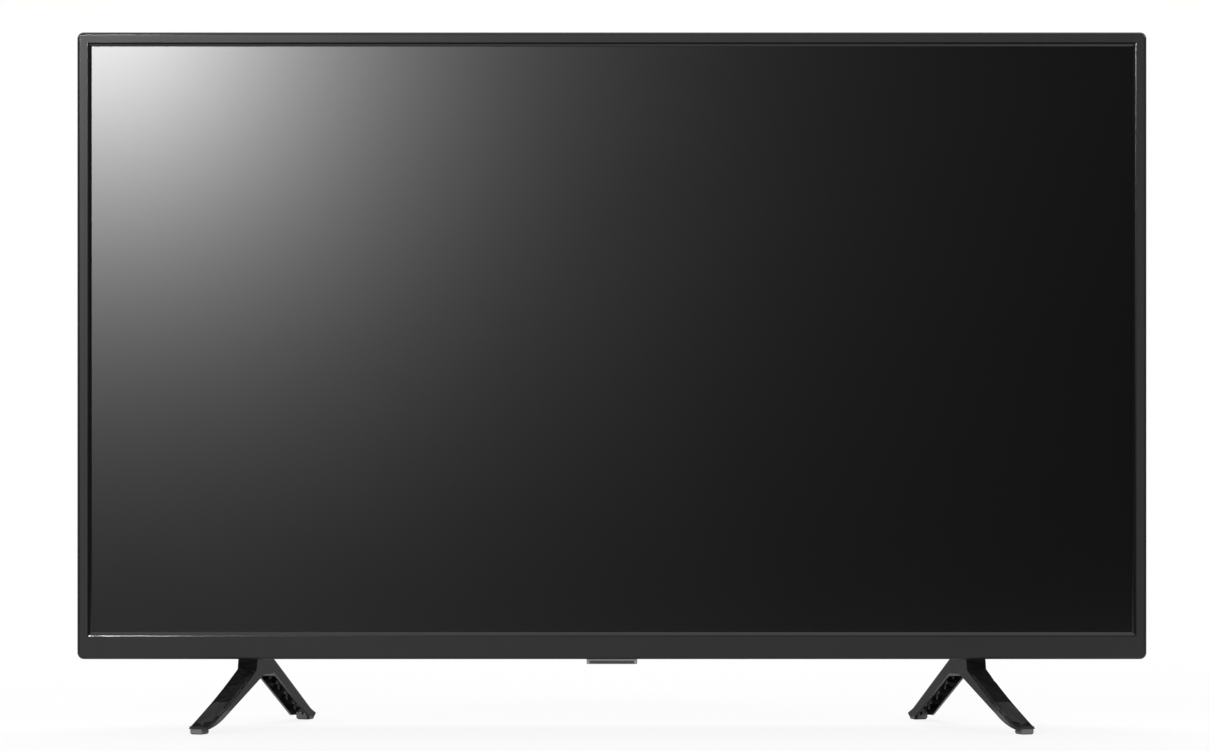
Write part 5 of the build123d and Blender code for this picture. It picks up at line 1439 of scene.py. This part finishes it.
def make_floor_finish():
    tree, shader = start_finish("floor_paint", base_color=floor_grey, roughness=floor_roughness)
    ray = add_node(tree, "ShaderNodeLightPath").outputs["Is Camera Ray"]
    away = add_node(tree, "ShaderNodeVectorMath", operation="LENGTH")
    join(tree, away.inputs[0], add_node(tree, "ShaderNodeTexCoord").outputs["Object"])
    show = spread_between(tree, away.outputs["Value"], 1 - shadow_keep, 1.0,
                          shadow_reach / 2, shadow_reach, "SMOOTHSTEP")
    paint = blended(tree, math_node(tree, "MULTIPLY", ray, show), shader.outputs[0],
                    add_node(tree, "ShaderNodeEmission").outputs[0])
    side = add_node(tree, "ShaderNodeNewGeometry").outputs["Backfacing"]
    seen = blended(tree, math_node(tree, "MULTIPLY", ray, side), paint,
                   add_node(tree, "ShaderNodeBsdfTransparent").outputs[0])
    join(tree, tree.nodes["Material Output"].inputs[0], seen)


def stage_sheet(name, corners, finish):
    """A flat sheet, or several, that belongs to the studio and not to the set."""
    mesh = bpy.data.meshes.new(name)
    mesh.from_pydata(corners, [], [tuple(range(i, i + 4)) for i in range(0, len(corners), 4)])
    mesh.materials.append(finishes[finish])
    sheet = linked(name, mesh)
    return sheet


make_floor_finish()
floor_corners = [(x * floor_half, y * floor_half, 0)
                 for x, y in ((-1, -1), (1, -1), (1, 1), (-1, 1))]
stage_sheet("floor", floor_corners, "floor_paint")
print("floor's side in metres:", 2 * floor_half)

# %% [markdown]
# The world is full white to the camera, to mirrors and through clear parts, as a white room
# would be. To all other rays, which carry light onto the set, it is a good deal dimmer.

# %% World
ambient_level = 0.4

world = bpy.data.worlds.new("studio")
world.use_nodes = True
bpy.context.scene.world = world
ray = add_node(world.node_tree, "ShaderNodeLightPath").outputs
seen = math_node(world.node_tree, "MAXIMUM", ray["Is Camera Ray"], ray["Is Glossy Ray"])
seen = math_node(world.node_tree, "MAXIMUM", seen, ray["Is Transmission Ray"])
feed(world.node_tree, world.node_tree.nodes["Background"], color=grey(1.0),
     strength=spread_between(world.node_tree, seen, ambient_level, 1.0))
print("ambient level:", ambient_level)

# %% [markdown]
# Each lamp is a flat panel aimed at a place on the set. A helper turns a lamp so that its face
# looks at that place, as one would swing a softbox on its stand. The key lamp hangs where the
# camera would see it if the screen were a mirror: the glow in the photograph is widest and
# brightest just above the top left corner, so the mirrored line of sight from there leads to it.
# The other lamps hang too far to the side for the screen to throw them at the camera.

# %% Lamps
def hang_lamp(name, place, aim, size, power):
    data = bpy.data.lights.new(name, "AREA")
    data.shape = "DISK"
    data.size = size
    data.energy = power
    lamp = linked(name, data)
    lamp.location = place
    lamp.rotation_euler = (Vector(aim) - Vector(place)).to_track_quat("-Z", "Y").to_euler()


glow_place = Vector((-0.476, face_y, 0.671))
key_distance = 3.0
from_camera = glow_place - camera.location
mirrored_way = Vector((from_camera.x, -from_camera.y, from_camera.z))
key_place = glow_place + mirrored_way * (key_distance / from_camera.y)
screen_middle = (panel_low + panel_high) / 2
hang_lamp("key", key_place, screen_middle, size=0.21, power=37.0)
hang_lamp("left_front", (-3.4, -2.4, 2.4), screen_middle, size=1.6, power=60.0)
hang_lamp("right_front", (3.4, -2.4, 2.4), screen_middle, size=1.6, power=60.0)
hang_lamp("overhead", (0, 1.1, 2.6), (0, 0.1, 0.3), size=3.0, power=60.0)
hang_lamp("left_wall", (-2.8, 0.6, 1.0), (0, 0, 0.3), size=1.4, power=25.0)
hang_lamp("right_wall", (2.8, 0.6, 1.0), (0, 0, 0.3), size=1.4, power=25.0)
print("key lamp:", [round(v, 2) for v in key_place])

# %% [markdown]
# The dark cloth is a sheet behind the camera that runs on along the floor to just in front of
# the set. It gives out a low even grey to reflections and is hidden from every other ray, so it
# shades nothing.

# %% Dark cloth behind the camera
cloth_back = face_y - 6.5
cloth_front = face_y - 0.42
cloth_half = 4.6
cloth_lift = 0.002
cloth_grey = 0.02
pale_from, pale_to = 0.6, 2.0


def make_glow(name, level, level_behind=None):
    """Light of an even grey, or of a grey that grows paler towards the back."""
    tree, _ = start_finish(name)
    if level_behind:
        place = add_node(tree, "ShaderNodeTexCoord").outputs["Object"]
        level = spread_between(tree, parts_of(tree, place)["Y"], level, level_behind,
                               pale_from, pale_to, "SMOOTHSTEP")
    glow = feed(tree, add_node(tree, "ShaderNodeEmission"), strength=level)
    join(tree, tree.nodes["Material Output"].inputs[0], glow.outputs[0])


def mirrored_only(sheet):
    """Hides a sheet from every ray but those of reflections."""
    sheet.visible_camera = False
    sheet.visible_diffuse = False
    sheet.visible_shadow = False
    sheet.visible_transmission = False


cloth_corners = [
    (-cloth_half, cloth_front, cloth_lift), (cloth_half, cloth_front, cloth_lift),
    (cloth_half, cloth_back, cloth_lift), (-cloth_half, cloth_back, cloth_lift),
    (-cloth_half, cloth_back, cloth_lift), (cloth_half, cloth_back, cloth_lift),
    (cloth_half, cloth_back, cloth_half), (-cloth_half, cloth_back, cloth_half)]
make_glow("dark_cloth", cloth_grey)
mirrored_only(stage_sheet("dark_cloth", cloth_corners, "dark_cloth"))
print("cloth behind the camera by:", round(camera.location.y - cloth_back, 2))

# %% [markdown]
# In the photograph the frame's left and right edges are dark while its top edge is bright, and
# the stands' inner sides are dark grey. So something dark stood at both sides of the set and
# nothing dark above it. A photographer does this with black flags. Two upright sheets do it here,
# nearly black towards the camera and paler towards the back, and again only reflections see them.
# The stands' inner sides look slightly down and to the back, so a grey runner lies there on the
# floor for them to mirror.

# %% Flags at the sides
flag_side = 2.0
flag_front = face_y - 2.9
flag_back = 3.6
flag_high = 1.15
flag_pale = 0.32
runner_front = 0.1
runner_grey = 0.36

flag_corners = []
for side in (-flag_side, flag_side):
    flag_corners += [(side, flag_front, 0), (side, flag_back, 0), (side, flag_back, flag_high),
                     (side, flag_front, flag_high)]
make_glow("side_flag", cloth_grey, flag_pale)
mirrored_only(stage_sheet("side_flags", flag_corners, "side_flag"))
runner_corners = [(-flag_side, runner_front, cloth_lift), (flag_side, runner_front, cloth_lift),
                  (flag_side, flag_back, cloth_lift), (-flag_side, flag_back, cloth_lift)]
make_glow("grey_runner", runner_grey)
mirrored_only(stage_sheet("grey_runner", runner_corners, "grey_runner"))
print("flags at:", flag_side, "high:", flag_high)

# %% [markdown]
# ## Finish
# The picture is kept in the standard view, so that colours come out as written.

# %% Keep the standard view
bpy.context.scene.view_settings.view_transform = "Standard"
